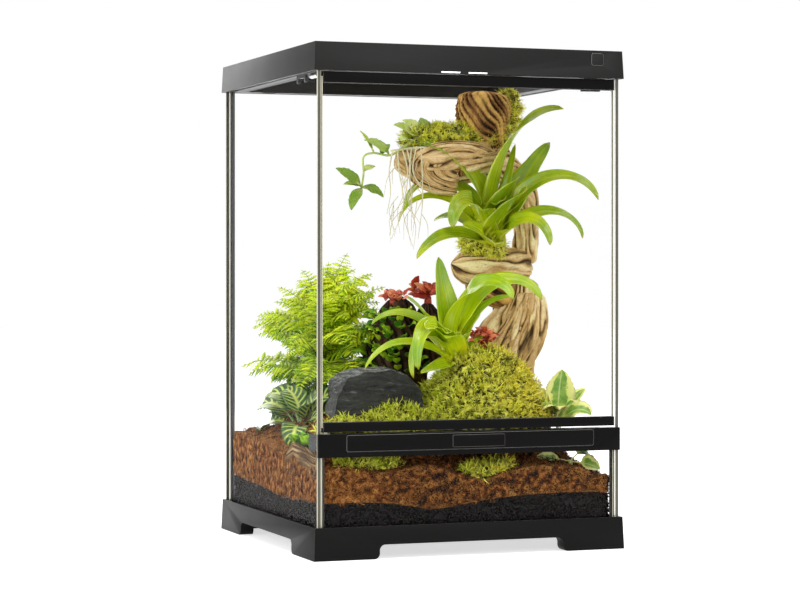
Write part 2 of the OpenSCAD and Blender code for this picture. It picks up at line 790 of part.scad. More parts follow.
module substrate() color([0.45, 0.24, 0.12]) {
    land(14, function (x, y) drain(x, y) + 0.3, function (x, y) ground(x, y));
}

// ---------------------------------------------------------------- swept forms

// One straight stretch of skin: the hull of a list of points
module stretch(points) {
    n = len(points);
    hull() polyhedron(points, [for (i = [0 : n - 1]) [i, (i + 1) % n, (i + 2) % n]]);
}

// A chain of stretches through a list of rings of points
module skin(rings) {
    for (k = [0 : len(rings) - 2]) stretch(concat(rings[k], rings[k + 1]));
}

// A smooth line through points of any length, with n steps between two of them
function smooth_at(a, b, c, d, t) =
    (2 * b + (c - a) * t + (2 * a - 5 * b + 4 * c - d) * t * t + (3 * b - a - 3 * c + d) * t * t * t) / 2;

function smooth(path, n) = let (last = len(path) - 1) concat(
    [for (i = [0 : last - 1], k = [0 : n - 1])
        smooth_at(path[max(i - 1, 0)], path[i], path[i + 1], path[min(i + 2, last)], k / n)],
    [path[last]]);

function unit(v) = v / max(norm(v), tiny);

function side_of(dir) = unit(cross(dir, abs(dir[2]) > 0.95 ? [0, 1, 0] : [0, 0, 1]));

// Rings round a path whose points carry their radius as a fourth number
function tube_rings(path, sides, flat = 1) = [for (i = [0 : len(path) - 1])
    let (p = path[i], a = path[max(i - 1, 0)], b = path[min(i + 1, len(path) - 1)],
        dir = unit([b[0] - a[0], b[1] - a[1], b[2] - a[2]]), s = side_of(dir), u = cross(s, dir))
    [for (k = [0 : sides - 1])
        [p[0], p[1], p[2]] + p[3] * (cos(360 * k / sides) * s + flat * sin(360 * k / sides) * u)]];

function placed(path) = [for (p = path) let (q = at([p[0], p[1], p[2]])) [q[0], q[1], q[2], p[3] * grow]];

module limb(path, sides = 10, n = 3) {
    skin(tube_rings(smooth(placed(path), n), sides));
}

// One solid through a path that has no sharp bends
module lofted_limb(path, sides, n) {
    rings = tube_rings(smooth(placed(path), n), sides);
    last = len(rings) - 1;
    walls = [for (i = [0 : last - 1], k = [0 : sides - 1])
        let (a = i * sides + k, b = i * sides + (k + 1) % sides)
        each [[a, b, b + sides], [a, b + sides, a + sides]]];
    ends = [[for (k = [sides - 1 : -1 : 0]) k], [for (k = [0 : sides - 1]) last * sides + k]];
    polyhedron([for (r = rings) each r], concat(walls, ends));
}

// Points along a leaf's middle: it leaves at the angle rise and bends down towards its tip
function leaf_line(p, heading, rise, bend, step, n, k = 0) = k > n ? [] :
    let (e = rise - bend * pow((k + 0.5) / n, 2))
    concat([p], leaf_line(p + step * [cos(e) * cos(heading), cos(e) * sin(heading), sin(e)],
        heading, rise, bend, step, n, k + 1));

// Width of a leaf along its length: a strap from a broad base, or an oval on a stalk
function strap(t) = sqrt(max(1 - pow(t, 3.2), 0.002)) * (0.7 + 0.3 * sin(180 * min(t * 1.3, 1)));

function oval(t) = t < 0.4 ? 0.07 : max(0.03, pow(sin(180 * pow((t - 0.4) / 0.6, 0.8)), 0.7));

// A leaf with a keel: each ring is its two edges and the keel under the middle
module leaf(root, heading, length, rise, bend, width, form = 0, n = 6) {
    line = leaf_line(root, heading, rise, bend, length * grow / n, n);
    across = [-sin(heading), cos(heading), 0];
    rings = [for (k = [0 : n])
        let (t = k / n, w = width * grow * (form == 0 ? strap(t) : oval(t)) / 2,
            dir = unit(line[min(k + 1, n)] - line[max(k - 1, 0)]), up = cross(dir, across))
        [line[k] + w * across + leaf_t * 0.4 * up, line[k] - w * across + leaf_t * 0.4 * up,
            line[k] - leaf_t * (0.6 + 0.08 * w) * up]];
    skin(rings);
}

// ---------------------------------------------------------------- rock and wood

module slate_rock() color([0.22, 0.24, 0.24]) {
    outline = [[-118, 126, 132], [-114, 148, 164], [-104, 166, 171], [-84, 172, 176], [-58, 174, 177],
        [-38, 166, 170], [-26, 150, 154], [-24, 124, 130]];
    stretch([for (p = outline) each [at([p[0], -94, p[1]]), at([p[0] + 2, -60, p[2]])]]);
}

// A crinkled block of cork bark that leans on the left pane
module bark_stump() color([0.66, 0.52, 0.33]) {
    lumps = [[-40, 9, 72, 94], [-58, 13, 70, 104], [-78, 14, 68, 103], [-98, 15, 68, 103], [-113, 13, 70, 97],
        [-130, 9, 72, 96]];
    rings = [for (p = lumps) let (x = p[1] - 147.5, m = (p[2] + p[3]) / 2)
        [at([-147.5, p[0], p[2]]), at([x, p[0], p[2] + 3]), at([x + 3, p[0], m]), at([x - 1, p[0], p[3] - 5]),
            at([-143, p[0], p[3]]), at([-147.5, p[0], p[3] - 4])]];
    skin(rings);
}

// A dark mound of bark behind the rock
module bark_mound() color([0.2, 0.13, 0.09]) {
    lofted_limb([[6, -6, 172, 18], [8, -8, 200, 17], [10, -8, 224, 12], [11, -8, 237, 7]], 8, 2);
    lofted_limb([[-22, 8, 138, 34], [-20, 8, 165, 33], [-18, 8, 190, 30], [-17, 7, 214, 24], [-15, 5, 232, 17],
        [-13, 6, 243, 7]], 9, 2);
}

// Limbs of the driftwood: points of x, y, z and radius
wood_trunk = [[82, -20, 140, 24], [90, -20, 175, 26], [104, -20, 206, 27], [114, -20, 232, 24],
    [112, -24, 256, 19]];
wood_middle = [[120, -22, 262, 15], [108, -30, 273, 17], [80, -42, 275, 19], [54, -44, 274, 18],
    [38, -42, 273, 11]];
wood_riser = [[112, -28, 268, 14], [130, -18, 292, 13], [131, -14, 318, 12], [124, -14, 346, 13],
    [102, -22, 370, 16], [78, -32, 384, 19]];
wood_loop = [[80, -33, 382, 19], [52, -36, 387, 19], [20, -37, 385, 18], [-4, -37, 376, 15],
    [-15, -36, 362, 12], [-5, -36, 352, 9], [14, -36, 352, 8], [30, -36, 358, 6]];
wood_stump = [[66, -34, 384, 13], [66, -34, 404, 18], [64, -34, 420, 26], [63, -34, 436, 27],
    [62, -34, 448, 24]];

module driftwood() color([0.5, 0.35, 0.2]) {
    limb(wood_trunk);
    limb(wood_middle);
    limb(wood_riser);
    limb(wood_loop);
    limb(wood_stump);
}

// ---------------------------------------------------------------- moss

// Moss: middle, two radii, then the height of its crown and edge; none means a thin pad on the soil
moss_pads = [[42, -80, 68, 56, 193, 126], [-50, -91, 46, 31, 149, 121], [-120, -130, 27, 12, 129, 118],
    [-96, -134, 36, 10], [22, -134, 28, 10]];

// Moss that rises above the bar lies on the bar's inner ledge there
bar_rest = ledge_top + 0.4;
moss_line = 17 - ledge_back;
function moss_low(p, x, y) = let (soil = at([x, y, ground(x, y) - 0.6]))
    (len(p) > 4 && y * spread < moss_line) ? [soil[0], soil[1], max(soil[2], bar_rest)] : soil;

function moss_high(p, x, y, r) = let (low = moss_low(p, x, y), soil = at([x, y, ground(x, y)]))
    len(p) > 4 ? [low[0], low[1], max(low[2] + 1.5, at([0, 0, p[4] - (p[4] - p[5]) * r * r])[2])]
    : soil + [0, 0, moss_t * (1 - 0.85 * pow(r, 3)) * 0.8];

module moss_pad(p, sectors = 20, rings = 4) {
    spots = concat([[p[0], p[1], 0]], [for (j = [1 : rings], k = [0 : sectors - 1])
        let (a = 360 * k / sectors, r = j / rings) [p[0] + p[2] * r * cos(a), p[1] + p[3] * r * sin(a), r]]);
    top = [for (q = spots) moss_high(p, q[0], q[1], q[2])];
    low = [for (q = spots) moss_low(p, q[0], q[1])];
    m = len(top);
    fan = [for (k = [0 : sectors - 1])
        let (a = 1 + k, b = 1 + (k + 1) % sectors) each [[0, b, a], [m, m + a, m + b]]];
    bands = [for (j = [0 : rings - 2], k = [0 : sectors - 1])
        let (a = 1 + j * sectors + k, b = 1 + j * sectors + (k + 1) % sectors,
            c = b + sectors, d = a + sectors)
        each [[a, b, c], [a, c, d], [m + a, m + c, m + b], [m + a, m + d, m + c]]];
    last = 1 + (rings - 1) * sectors;
    rim = [for (k = [0 : sectors - 1])
        let (a = last + k, b = last + (k + 1) % sectors) each [[a, b, m + b], [a, m + b, m + a]]];
    polyhedron(concat(top, low), concat(fan, bands, rim));
}

module ground_moss() color([0.5, 0.55, 0.12]) {
    for (p = moss_pads) moss_pad(p);
}

module wood_moss() color([0.62, 0.6, 0.14]) {
    limb([[84, -34, 398, 5], [66, -38, 402, 8], [42, -38, 406, 9], [16, -38, 403, 8],
        [-8, -38, 393, 6]], 7, 2);
    limb([[84, -36, 448, 5], [87, -36, 436, 8], [86, -36, 420, 8], [80, -36, 408, 4]], 7, 2);
    limb([[34, -50, 289, 4], [46, -54, 293, 7], [60, -56, 293, 4]], 7, 2);
}

// ---------------------------------------------------------------- plants

// Leaf: heading, length, angle at the root, bend, width
upper_root = [59, -60, 291];
upper_leaves = [[205, 164, 76, 110, 19], [190, 138, 68, 155, 13], [170, 109, 58, 120, 9],
    [220, 121, 58, 170, 17],
    [205, 121, 16, 65, 12], [335, 159, 88, 85, 11], [320, 99, 64, -25, 8], [5, 112, 60, 10, 19],
    [330, 142, 64, 140, 12], [345, 105, 40, 120, 12], [288, 96, 34, 115, 16], [250, 72, 70, 80, 24],
    [262, 88, 78, 60, 24], [285, 70, 52, 5, 15], [230, 58, 16, 15, 10], [80, 78, 40, 80, 13],
        [125, 82, 48, 80, 13]];
lower_root = [14, -75, 178];
lower_leaves = [[150, 98, 76, -5, 19], [205, 94, 52, 40, 14], [185, 104, 48, 85, 9], [222, 132, 54, 185, 17],
    [235, 84, 62, 90, 22], [320, 124, 88, 145, 17], [345, 138, 80, 140, 14], [330, 92, 68, 70, 9],
    [350, 74, 80, 45, 10], [220, 66, 18, 20, 12], [190, 112, 22, 86, 6], [270, 58, 48, 140, 12],
    [342, 40, 24, -10, 6], [60, 70, 50, 70, 13], [105, 76, 46, 70, 13]];

module rosette(root, leaves) {
    p = at(root);
    for (k = leaves) leaf(p, k[0], k[1], k[2], k[3], k[4]);
    // the short stem that the leaves grow from
    skin([for (i = [0 : 1]) [for (a = [0 : 60 : 300])
        p + [(5 - i * 2) * cos(a), (5 - i * 2) * sin(a), i * 22 - 12] * grow]]);
}

module upper_bromeliad() color([0.4, 0.62, 0.1]) rosette(upper_root, upper_leaves);

module lower_bromeliad() color([0.45, 0.68, 0.12]) rosette(lower_root, lower_leaves);

fern_root = [-78, 24, 142];
golden = 137.5;

// How far a frond may grow towards the left pane and towards the wood
function fern_reach(a) = 1 - 0.38 * pow(max(0, -cos(a)), 2) - 0.45 * pow(max(0, cos(a + 18)), 2);

// A frond: a thin stem with pairs of leaflets that shorten towards the tip
module frond(root, heading, length, rise, bend) {
    n = 9;
    line = leaf_line(root, heading, rise, bend, length / n, n);
    across = [-sin(heading), cos(heading), 0];
    rings = [for (k = [0 : n])
        let (up = cross(unit(line[min(k + 1, n)] - line[max(k - 1, 0)]), across))
        [line[k] + 0.7 * across, line[k] - 0.7 * across, line[k] - 0.9 * up]];
    for (k = [0 : n - 1]) {
        reach = length * 0.17 * sin(180 * pow((k + 0.6) / (n + 0.6), 0.75));
        mid = line[k] * 0.4 + line[k + 1] * 0.6;
        tips = k < 2 ? [] : [mid + reach * across - [0, 0, 0.6], mid - reach * across - [0, 0, 0.6]];
        stretch(concat(rings[k], rings[k + 1], tips));
    }
}

module fern() color([0.55, 0.75, 0.2]) {
    p = at(fern_root);
    for (k = [0 : fern_fronds - 1]) {
        heading = k * golden;
        frond(p, heading, (138 - 1.6 * k) * grow * fern_reach(heading), 84 - 3 * k, 40 + 3.4 * k);
    }
    skin([for (i = [0 : 1]) [for (a = [0 : 60 : 300]) p + [4 * cos(a), 4 * sin(a), i * 14 - 8] * grow]]);
}

// Leaves on stalks: place of the root, heading, length, angle, bend, width
foliage_leaves = [[118, 74, 42, 70, 26], [98, 66, 58, 60, 28], [60, 52, 62, 70, 26], [20, 50, 48, 70, 28],
    [330, 54, 40, 60, 28], [290, 66, 50, 70, 26], [272, 82, 34, 60, 28], [108, 54, 74, 50, 26],
    [300, 46, 76, 60, 24], [75, 76, 30, 60, 26]];

module left_foliage() color([0.18, 0.34, 0.14]) {
    p = at([-112, 26, 104]);
    for (k = foliage_leaves) leaf(p, k[0], k[1], k[2], k[3], k[4], 1, 8);
    skin([for (i = [0 : 1]) [for (a = [0 : 60 : 300]) p + [3 * cos(a), 3 * sin(a), i * 12 - 8] * grow]]);
}

module creeping_greens() color([0.35, 0.6, 0.12]) {
    for (i = [0 : 4]) {
        p = at([-136, -46 - 12 * i, 99]);
        skin([for (j = [0 : 1]) [for (a = [0 : 90 : 270]) p + [2.5 * cos(a), 5 * sin(a), j * 5 - 1] * grow]]);
        for (k = [0 : 2]) leaf(p + [0, 0, 3], 20 + k * 120 + i * 40, 11, 50, 60, 7, 0, 2);
    }
}

variegated_leaves = [[95, 62, 82, 10, 24], [30, 52, 48, 30, 16], [165, 54, 52, 30, 22], [215, 42, 62, 60, 26],
    [300, 48, 50, 60, 18], [345, 40, 40, 50, 16]];
bar_leaves = [[20, 26, 14, 30, 16], [170, 40, 8, 20, 12], [60, 24, 20, 60, 12]];

module variegated_plant() color([0.6, 0.75, 0.3]) {
    p = at([112, -100, 106]);
    for (k = variegated_leaves) leaf(p, k[0], k[1], k[2], k[3], k[4], 1, 6);
    limb([[112, -100, 84, 2.5], [112, -100, 96, 2.2], [112, -100, 108, 2]], 6, 3);
    q = at([112, -132, 84]);
    for (k = bar_leaves) leaf(q, k[0], k[1], k[2], k[3], k[4], 1, 5);
    limb([[112, -132, 76, 2], [112, -132, 80, 2], [112, -132, 85, 2]], 6, 3);
}

red_spots = [[10, -10, 240], [-24, -2, 238], [43, -76, 197]];

module red_plants() color([0.75, 0.25, 0.12]) {
    for (s = red_spots) {
        p = at(s);
        skin([for (j = [0 : 1]) [for (a = [0 : 60 : 300]) p + [4 * cos(a), 4 * sin(a), j * 8 - 4] * grow]]);
        for (k = [0 : 6]) leaf(p, k * golden, 20 - k, 70 - 9 * k, 40, 8, 0, 2);
    }
}

vine_stem = [[10, -42, 402, 2], [-14, -46, 400, 2], [-30, -48, 390, 1.6], [-44, -48, 382, 1.5],
    [-60, -46, 384, 1.4],
    [-70, -44, 380, 1.3], [-70, -44, 364, 1.3], [-72, -44, 350, 1.2]];
// Leaves of the vine: place on the stem, heading, length, angle, bend, width
vine_leaves = [[[-8, -46, 400], 150, 28, 50, 30, 15], [[0, -44, 402], 20, 26, 40, 20, 14],
    [[-14, -46, 400], 190, 30, 30, 20, 15], [[-44, -48, 382], 170, 30, 40, 30, 14],
    [[-60, -46, 384], 180, 26, 60, 10, 9], [[-72, -44, 350], 170, 32, 40, 10, 18],
    [[-72, -44, 350], 350, 24, -10, 40, 14], [[-72, -44, 350], 200, 26, -50, 30, 12],
    [[-71, -44, 352], 180, 20, 10, 20, 9]];

module climbing_vine() color([0.55, 0.7, 0.25]) {
    limb(vine_stem, 5, 2);
    for (k = vine_leaves) leaf(at(k[0]), k[1], k[2], k[3], k[4], k[5], 0, 4);
}

// Thin pale roots that hang from the loop of wood
module aerial_roots() color([0.85, 0.8, 0.6]) {
    for (i = [0 : 6]) {
        x = -14 - 5 * i;
        low = 300 + 8 * ((i * 3) % 5);
        limb([[x, -54 - 0.35 * i, 391 - 0.65 * i, 0.9], [x - 5 * sin(70 * i), -58, 366, 0.7],
            [x + 6 * sin(95 * i), -58, (366 + low) / 2, 0.7],
                [x - 4 + 3 * sin(50 * i), -57, low, 0.6]], 4, 2);
    }
    limb([[12, -54, 389, 1], [-14, -54, 390, 1], [-46, -56, 386, 1]], 4, 2);
}

base_frame();
bottom_pane();
left_pane();
right_pane();
back_pane();
lower_front_pane();
silicone_seams();
front_bar();
bar_panel();
badge_plate();
vent_strip();
lower_hinge_bush();
hood_frame();
magnet_plates();
hanging_clip();
hinge_stay();
upper_hinge_bush();
latch_pin();
button_spring();
door_pane();
door_top_rail();
door_bottom_rail();
door_strike();
upper_pivot_pin();
lower_pivot_pin();
release_button();
latch_lever();
screen_frame();
mesh_long_wires();
mesh_cross_wires();
screen_clips();
left_inlet_gate();
right_inlet_gate();
drainage_layer();
substrate();
slate_rock();
bark_stump();
bark_mound();
driftwood();
ground_moss();
wood_moss();
fern();
upper_bromeliad();
lower_bromeliad();
climbing_vine();
aerial_roots();
left_foliage();
creeping_greens();
variegated_plant();
red_plants();
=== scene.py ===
# %% [markdown]
# # A planted glass terrarium
# The cabinet, its door and its screen top come from exact solids that are already in
# Blender's metres. This script gives them finishes, and it grows the planting: soil, wood,
# rock, moss and leaves, each in the place that the solids keep for it. It starts by loading
# those solids.

# %% Load the fixed frame
import bpy, bmesh, math
import numpy as np
from mathutils import Vector, Matrix, noise


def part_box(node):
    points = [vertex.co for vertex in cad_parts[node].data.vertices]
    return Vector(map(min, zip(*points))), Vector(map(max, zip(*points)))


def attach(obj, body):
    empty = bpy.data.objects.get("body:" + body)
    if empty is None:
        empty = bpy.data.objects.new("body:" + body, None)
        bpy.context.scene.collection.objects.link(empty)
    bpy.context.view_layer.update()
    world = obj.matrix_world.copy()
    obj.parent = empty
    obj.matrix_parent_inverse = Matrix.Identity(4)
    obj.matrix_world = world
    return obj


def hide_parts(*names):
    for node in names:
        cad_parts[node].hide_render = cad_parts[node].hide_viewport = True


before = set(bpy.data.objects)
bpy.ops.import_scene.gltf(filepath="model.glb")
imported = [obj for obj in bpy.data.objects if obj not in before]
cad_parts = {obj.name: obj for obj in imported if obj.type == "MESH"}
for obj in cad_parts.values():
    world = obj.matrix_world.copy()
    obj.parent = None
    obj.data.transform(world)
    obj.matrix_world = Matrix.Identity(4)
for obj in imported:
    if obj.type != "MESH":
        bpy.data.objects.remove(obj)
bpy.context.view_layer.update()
scene = bpy.context.scene
MM = 0.001

# %% [markdown]
# ## Finishes
# Every finish is a small node tree. A helper keeps each tree short: it adds a node, sets its
# inputs and links it in one line. Patterns read Object coordinates, so they stay put on the
# piece, or a UV map or attribute where they have to follow a leaf or a limb.

# %% Node helpers
class Finish:
    """A material under construction: add nodes, then read the result from .mat."""
    def __init__(self, name):
        self.mat = bpy.data.materials.new(name)
        self.mat.use_nodes = True
        self.tree = self.mat.node_tree
        self.tree.nodes.clear()
        self.out = self.tree.nodes.new("ShaderNodeOutputMaterial")
        self.skin = self.add("ShaderNodeBsdfPrincipled")
        self.tree.links.new(self.skin.outputs[0], self.out.inputs[0])

    def add(self, kind, inputs=None, **settings):
        n = self.tree.nodes.new(kind)
        for key, value in settings.items():
            setattr(n, key, value)
        for key, value in (inputs or {}).items():
            self.put(n.inputs[key], value)
        return n

    def put(self, socket, value):
        if isinstance(value, bpy.types.NodeSocket):
            self.tree.links.new(value, socket)
        elif isinstance(value, tuple) and len(value) == 3 and socket.type == "RGBA":
            socket.default_value = (*value, 1.0)
        else:
            socket.default_value = value

    def set(self, **values):
        for key, value in values.items():
            self.put(self.skin.inputs[key.replace("_", " ")], value)
        return self

    def place(self, scale=(1, 1, 1), turn=(0, 0, 0)):
        coords = self.add("ShaderNodeTexCoord").outputs["Object"]
        return self.add("ShaderNodeMapping", {"Vector": coords, "Scale": scale, "Rotation": turn}).outputs[0]

    def uv(self):
        return self.add("ShaderNodeTexCoord").outputs["UV"]

    def parts(self, vector):
        """The X, Y and Z of a vector."""
        return self.add("ShaderNodeSeparateXYZ", {0: vector}).outputs

    def grain(self, where, scale, detail=4.0, rough=0.6, distort=0.0):
        return self.add("ShaderNodeTexNoise", {"Vector": where, "Scale": scale, "Detail": detail,
                        "Roughness": rough, "Distortion": distort}).outputs[0]

    def ramp(self, value, *stops):
        r = self.add("ShaderNodeValToRGB", {"Fac": value})
        while len(r.color_ramp.elements) < len(stops):
            r.color_ramp.elements.new(0.5)
        for e, (at, colour) in zip(r.color_ramp.elements, stops):
            e.position = at
            e.color = (*colour, 1.0) if isinstance(colour, tuple) else (colour, colour, colour, 1.0)
        return r.outputs[0]

    def mix(self, share, a, b):
        m = self.add("ShaderNodeMix", data_type="RGBA")
        for socket, value in ((m.inputs[0], share), (m.inputs[6], a), (m.inputs[7], b)):
            self.put(socket, value)
        return m.outputs[2]

    def math(self, how, a, b=0.0, c=0.0):
        m = self.add("ShaderNodeMath", operation=how)
        for socket, value in zip(m.inputs, (a, b, c)):
            self.put(socket, value)
        return m.outputs[0]

    def bump(self, height, strength, depth):
        b = self.add("ShaderNodeBump", {"Height": height, "Strength": strength, "Distance": depth})
        self.put(self.skin.inputs["Normal"], b.outputs[0])
        return self

    def attribute(self, name):
        return self.add("ShaderNodeAttribute", attribute_name=name).outputs["Fac"]

def shade(colour, share):
    """A darker or lighter relative of a colour."""
    return tuple(min(c * share, 1.0) for c in colour)

# %% [markdown]
# ### Black plastic
# The base, the bar and the hood are one satin black plastic in three copies: the hood's copy
# is lighter as painted light and the bar's is darkest as painted shade. Real moulded plastic
# has a very fine spark texture and slightly uneven gloss, and both come from small noises. A
# much lighter finish on the small round of each edge paints its highlight.

# %% Black plastics
def moulded_plastic(name, colour, gloss, level=0.2):
    f = Finish(name)
    spot = f.place()
    fine, broad = f.grain(spot, 1400, 2), f.grain(spot, 22, 3)
    f.set(Base_Color=f.mix(broad, shade(colour, 0.85), shade(colour, 1.2)),
          Roughness=f.math("MULTIPLY_ADD", broad, 0.12, gloss), Specular_IOR_Level=level)
    f.bump(fine, 0.12, 0.0002)
    return f.mat

# Painted light and shade: one satin black, lighter on the hood and darkest on the bar.
hood_black = moulded_plastic("satin_black_plastic", (0.0110, 0.0105, 0.0100), 0.36, 0.16)
bar_black = moulded_plastic("bar_black_plastic", (0.0038, 0.0034, 0.0033), 0.34, 0.06)
base_black = moulded_plastic("base_black_plastic", (0.0055, 0.0052, 0.0050), 0.36, 0.09)
clip_black = moulded_plastic("clip_black_plastic", (0.05, 0.05, 0.05), 0.35)
# Painted highlight: pale grey for the small round on each moulded edge.
painted_edge_highlight = moulded_plastic("black_plastic_painted_edge_highlight", (0.17, 0.165, 0.155), 0.25, 0.5)
print("four black plastics and the lighter finish of their edges")

# %% Glass, silicone and metals
def clear_glass():
    """Glass that is almost all see-through, with a little mirror in it that grows at a slant."""
    f = Finish("clear_float_glass")
    f.tree.nodes.remove(f.skin)
    see = f.add("ShaderNodeBsdfTransparent", {"Color": (0.999, 1.0, 0.9995)})
    shine = f.add("ShaderNodeBsdfGlossy", {"Color": (1.0, 1.0, 1.0), "Roughness": 0.02})
    slant = f.add("ShaderNodeLayerWeight", {"Blend": 0.5}).outputs["Facing"]
    share = f.math("MULTIPLY", f.math("POWER", slant, 6.0), 0.06)
    body = f.add("ShaderNodeMixShader", {0: share, 1: see.outputs[0], 2: shine.outputs[0]})
    f.tree.links.new(body.outputs[0], f.out.inputs[0])
    return f.mat

def plain(name, colour, rough, metal=0.0, wear=0.0):
    f = Finish(name)
    n = f.grain(f.place(), 60, 5)
    f.set(Base_Color=f.mix(n, shade(colour, 1 - wear), colour), Metallic=metal,
          Roughness=f.math("MULTIPLY_ADD", n, 0.15, rough))
    return f.mat

glass_clear = clear_glass()
glass_edge = plain("ground_glass_edge", (0.10, 0.095, 0.065), 0.12, 0.0, 0.35)
# Painted highlight: a pale colour for the chamfer along each pane's corners.
arris_highlight = plain("painted_arris_highlight", (0.72, 0.69, 0.52), 0.25, 0.0, 0.15)
silicone_black = plain("silicone_black", (0.012, 0.012, 0.011), 0.35, 0.0, 0.2)
bright_metal = plain("bright_plated_metal", (0.78, 0.78, 0.76), 0.16, 1.0, 0.12)
drawn_steel = plain("drawn_steel", (0.55, 0.53, 0.5), 0.3, 1.0, 0.2)
bearing_ivory = plain("bearing_plastic", (0.6, 0.56, 0.44), 0.4, 0.0, 0.1)
mesh_black = plain("coated_wire", (0.03, 0.03, 0.03), 0.4, 0.3, 0.2)
print("glass, silicone, metals and bearing plastic")

# %% [markdown]
# ## Cabinet, door and screen
# These solids already have the right shape. A moulded edge is never sharp, though, and it is
# the small round on it that catches the light. So each visible moulding gets a merged copy
# with a fine bevel, whose pale finish paints that highlight, and the copy stands for the solid.
# Small parts just get a finish.

# %% From bmesh to mesh to object
def mesh_from(b, name):
    """Turns a finished bmesh into a mesh and frees it."""
    mesh = bpy.data.meshes.new(name)
    b.to_mesh(mesh)
    b.free()
    return mesh

def add_object(name, mesh):
    made = bpy.data.objects.new(name, mesh)
    scene.collection.objects.link(made)
    return made

def applied(source):
    """A plain mesh of an object with its modifiers applied."""
    return bpy.data.meshes.new_from_object(source.evaluated_get(bpy.context.evaluated_depsgraph_get()))

print("object helpers ready")

# %% Rounded copies of the mouldings
def finish_copy(source, modifiers, name, *materials):
    """Applies modifiers to an object and returns a clean one, with its faces' finishes in order."""
    for kind, settings in modifiers:
        m = source.modifiers.new(kind, kind)
        for key, value in settings.items():
            setattr(m, key, value)
    flat = applied(source)
    flat.name = name
    bpy.data.objects.remove(source)
    made = add_object(name, flat)
    which = np.zeros(len(flat.polygons), np.int32)
    flat.polygons.foreach_get("material_index", which)
    flat.materials.clear()
    for m in materials:
        flat.materials.append(m)
    flat.polygons.foreach_set("material_index", np.minimum(which, len(materials) - 1))
    flat.shade_smooth()
    flat.set_sharp_from_angle(angle=math.radians(38))
    return made

def merged(node):
    """A copy of a solid's mesh without double points and without needless edges on flat faces."""
    b = bmesh.new()
    b.from_mesh(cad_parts[node].data)
    bmesh.ops.remove_doubles(b, verts=b.verts, dist=2e-6)
    bmesh.ops.dissolve_limit(b, angle_limit=math.radians(0.6), verts=b.verts, edges=b.edges)
    return add_object(node, mesh_from(b, node))

def rounded(node, radius, material, body, segments=2):
    """Replaces a solid by its copy with a small round on each sharp edge, in the pale finish of a painted
    highlight.
    """
    bevel = dict(width=radius, segments=segments, limit_method="ANGLE", angle_limit=math.radians(35),
                 use_clamp_overlap=True, harden_normals=False, material=1)
    plain_copy = merged(node)
    for m in (material, painted_edge_highlight):
        plain_copy.data.materials.append(m)
    piece = finish_copy(plain_copy, [("BEVEL", bevel)], node + "_moulding", material, painted_edge_highlight)
    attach(piece, body)
    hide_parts(node)

rounded("base_frame", 0.0005, base_black, "cabinet")
rounded("hood_frame", 0.0005, hood_black, "cabinet")
rounded("front_bar", 0.0004, bar_black, "cabinet")
rounded("bar_panel", 0.0003, bar_black, "cabinet")
rounded("badge_plate", 0.0002, bar_black, "cabinet")
rounded("door_top_rail", 0.0005, bar_black, "door")
rounded("door_bottom_rail", 0.0005, bar_black, "door")
rounded("screen_frame", 0.0006, hood_black, "screen")
rounded("release_button", 0.0007, hood_black, "button", 3)
print("nine mouldings with rounded edges")

# %% Finishes of the small solids
small_finishes = {
    "silicone_seams": silicone_black, "vent_strip": mesh_black, "lower_hinge_bush": bearing_ivory,
    "upper_hinge_bush": bearing_ivory, "magnet_plates": bright_metal, "hanging_clip": clip_black,
    "hinge_stay": bright_metal, "latch_pin": drawn_steel, "button_spring": drawn_steel,
    "door_strike": clip_black, "upper_pivot_pin": drawn_steel, "lower_pivot_pin": drawn_steel,
    "latch_lever": drawn_steel, "screen_clips": clip_black, "left_inlet_gate": clip_black,
    "right_inlet_gate": clip_black}
for name, material in small_finishes.items():
    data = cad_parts[name].data
    data.materials.clear()
    data.materials.append(material)
print(len(small_finishes), "small solids finished")

# %% [markdown]
# ### Panes
# A pane is see-through on its faces, but its ground edges look dark olive, with a bright line
# along each broken corner. So every pane is made again with a small chamfer, whose pale finish
# paints that line as a highlight, and each face gets its finish from the way that it points.

# %% Panes with ground edges
CHAMFER = 0.0006
SQUARE_ON = 0.95

def pane(node, thin, body):
    """A glass block over a solid's box. thin is the axis that runs through the pane."""
    lo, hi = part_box(node)
    b = bmesh.new()
    made = bmesh.ops.create_cube(b, size=1.0)["verts"]
    for v in made:
        v.co = Vector([(lo[i] + hi[i]) / 2 + v.co[i] * (hi[i] - lo[i]) for i in range(3)])
    bmesh.ops.bevel(b, geom=b.edges[:], offset=CHAMFER, segments=1, affect="EDGES", profile=0.5)
    b.normal_update()
    for f in b.faces:
        along = max(abs(c) for c in f.normal)
        # Chamfer faces take the third finish, the painted highlight of the arris.
        f.material_index = 2 if along < SQUARE_ON else (0 if abs(f.normal[thin]) > SQUARE_ON else 1)
    me = mesh_from(b, node + "_glass")
    for m in (glass_clear, glass_edge, arris_highlight):
        me.materials.append(m)
    piece = add_object(node + "_glass", me)
    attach(piece, body)
    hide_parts(node)

PANES = (("left_pane", 0, "cabinet"), ("right_pane", 0, "cabinet"), ("back_pane", 1, "cabinet"),
         ("lower_front_pane", 1, "cabinet"), ("bottom_pane", 2, "cabinet"), ("door_pane", 1, "door"))
for node, thin, body in PANES:
    pane(node, thin, body)
print(len(PANES), "panes")

# %% [markdown]
# ## Building blocks for the planting
# Leaves, stems and limbs are all lofts: rings of points joined one after another. One small
# class collects many lofts into one mesh, with a UV map that follows each leaf and a tone
# that differs from leaf to leaf.

# %% Lofts
def write_tone(mesh, tones):
    values = np.concatenate(tones).astype(np.float32)
    mesh.attributes.new("tone", "FLOAT", "POINT").data.foreach_set("value", values)

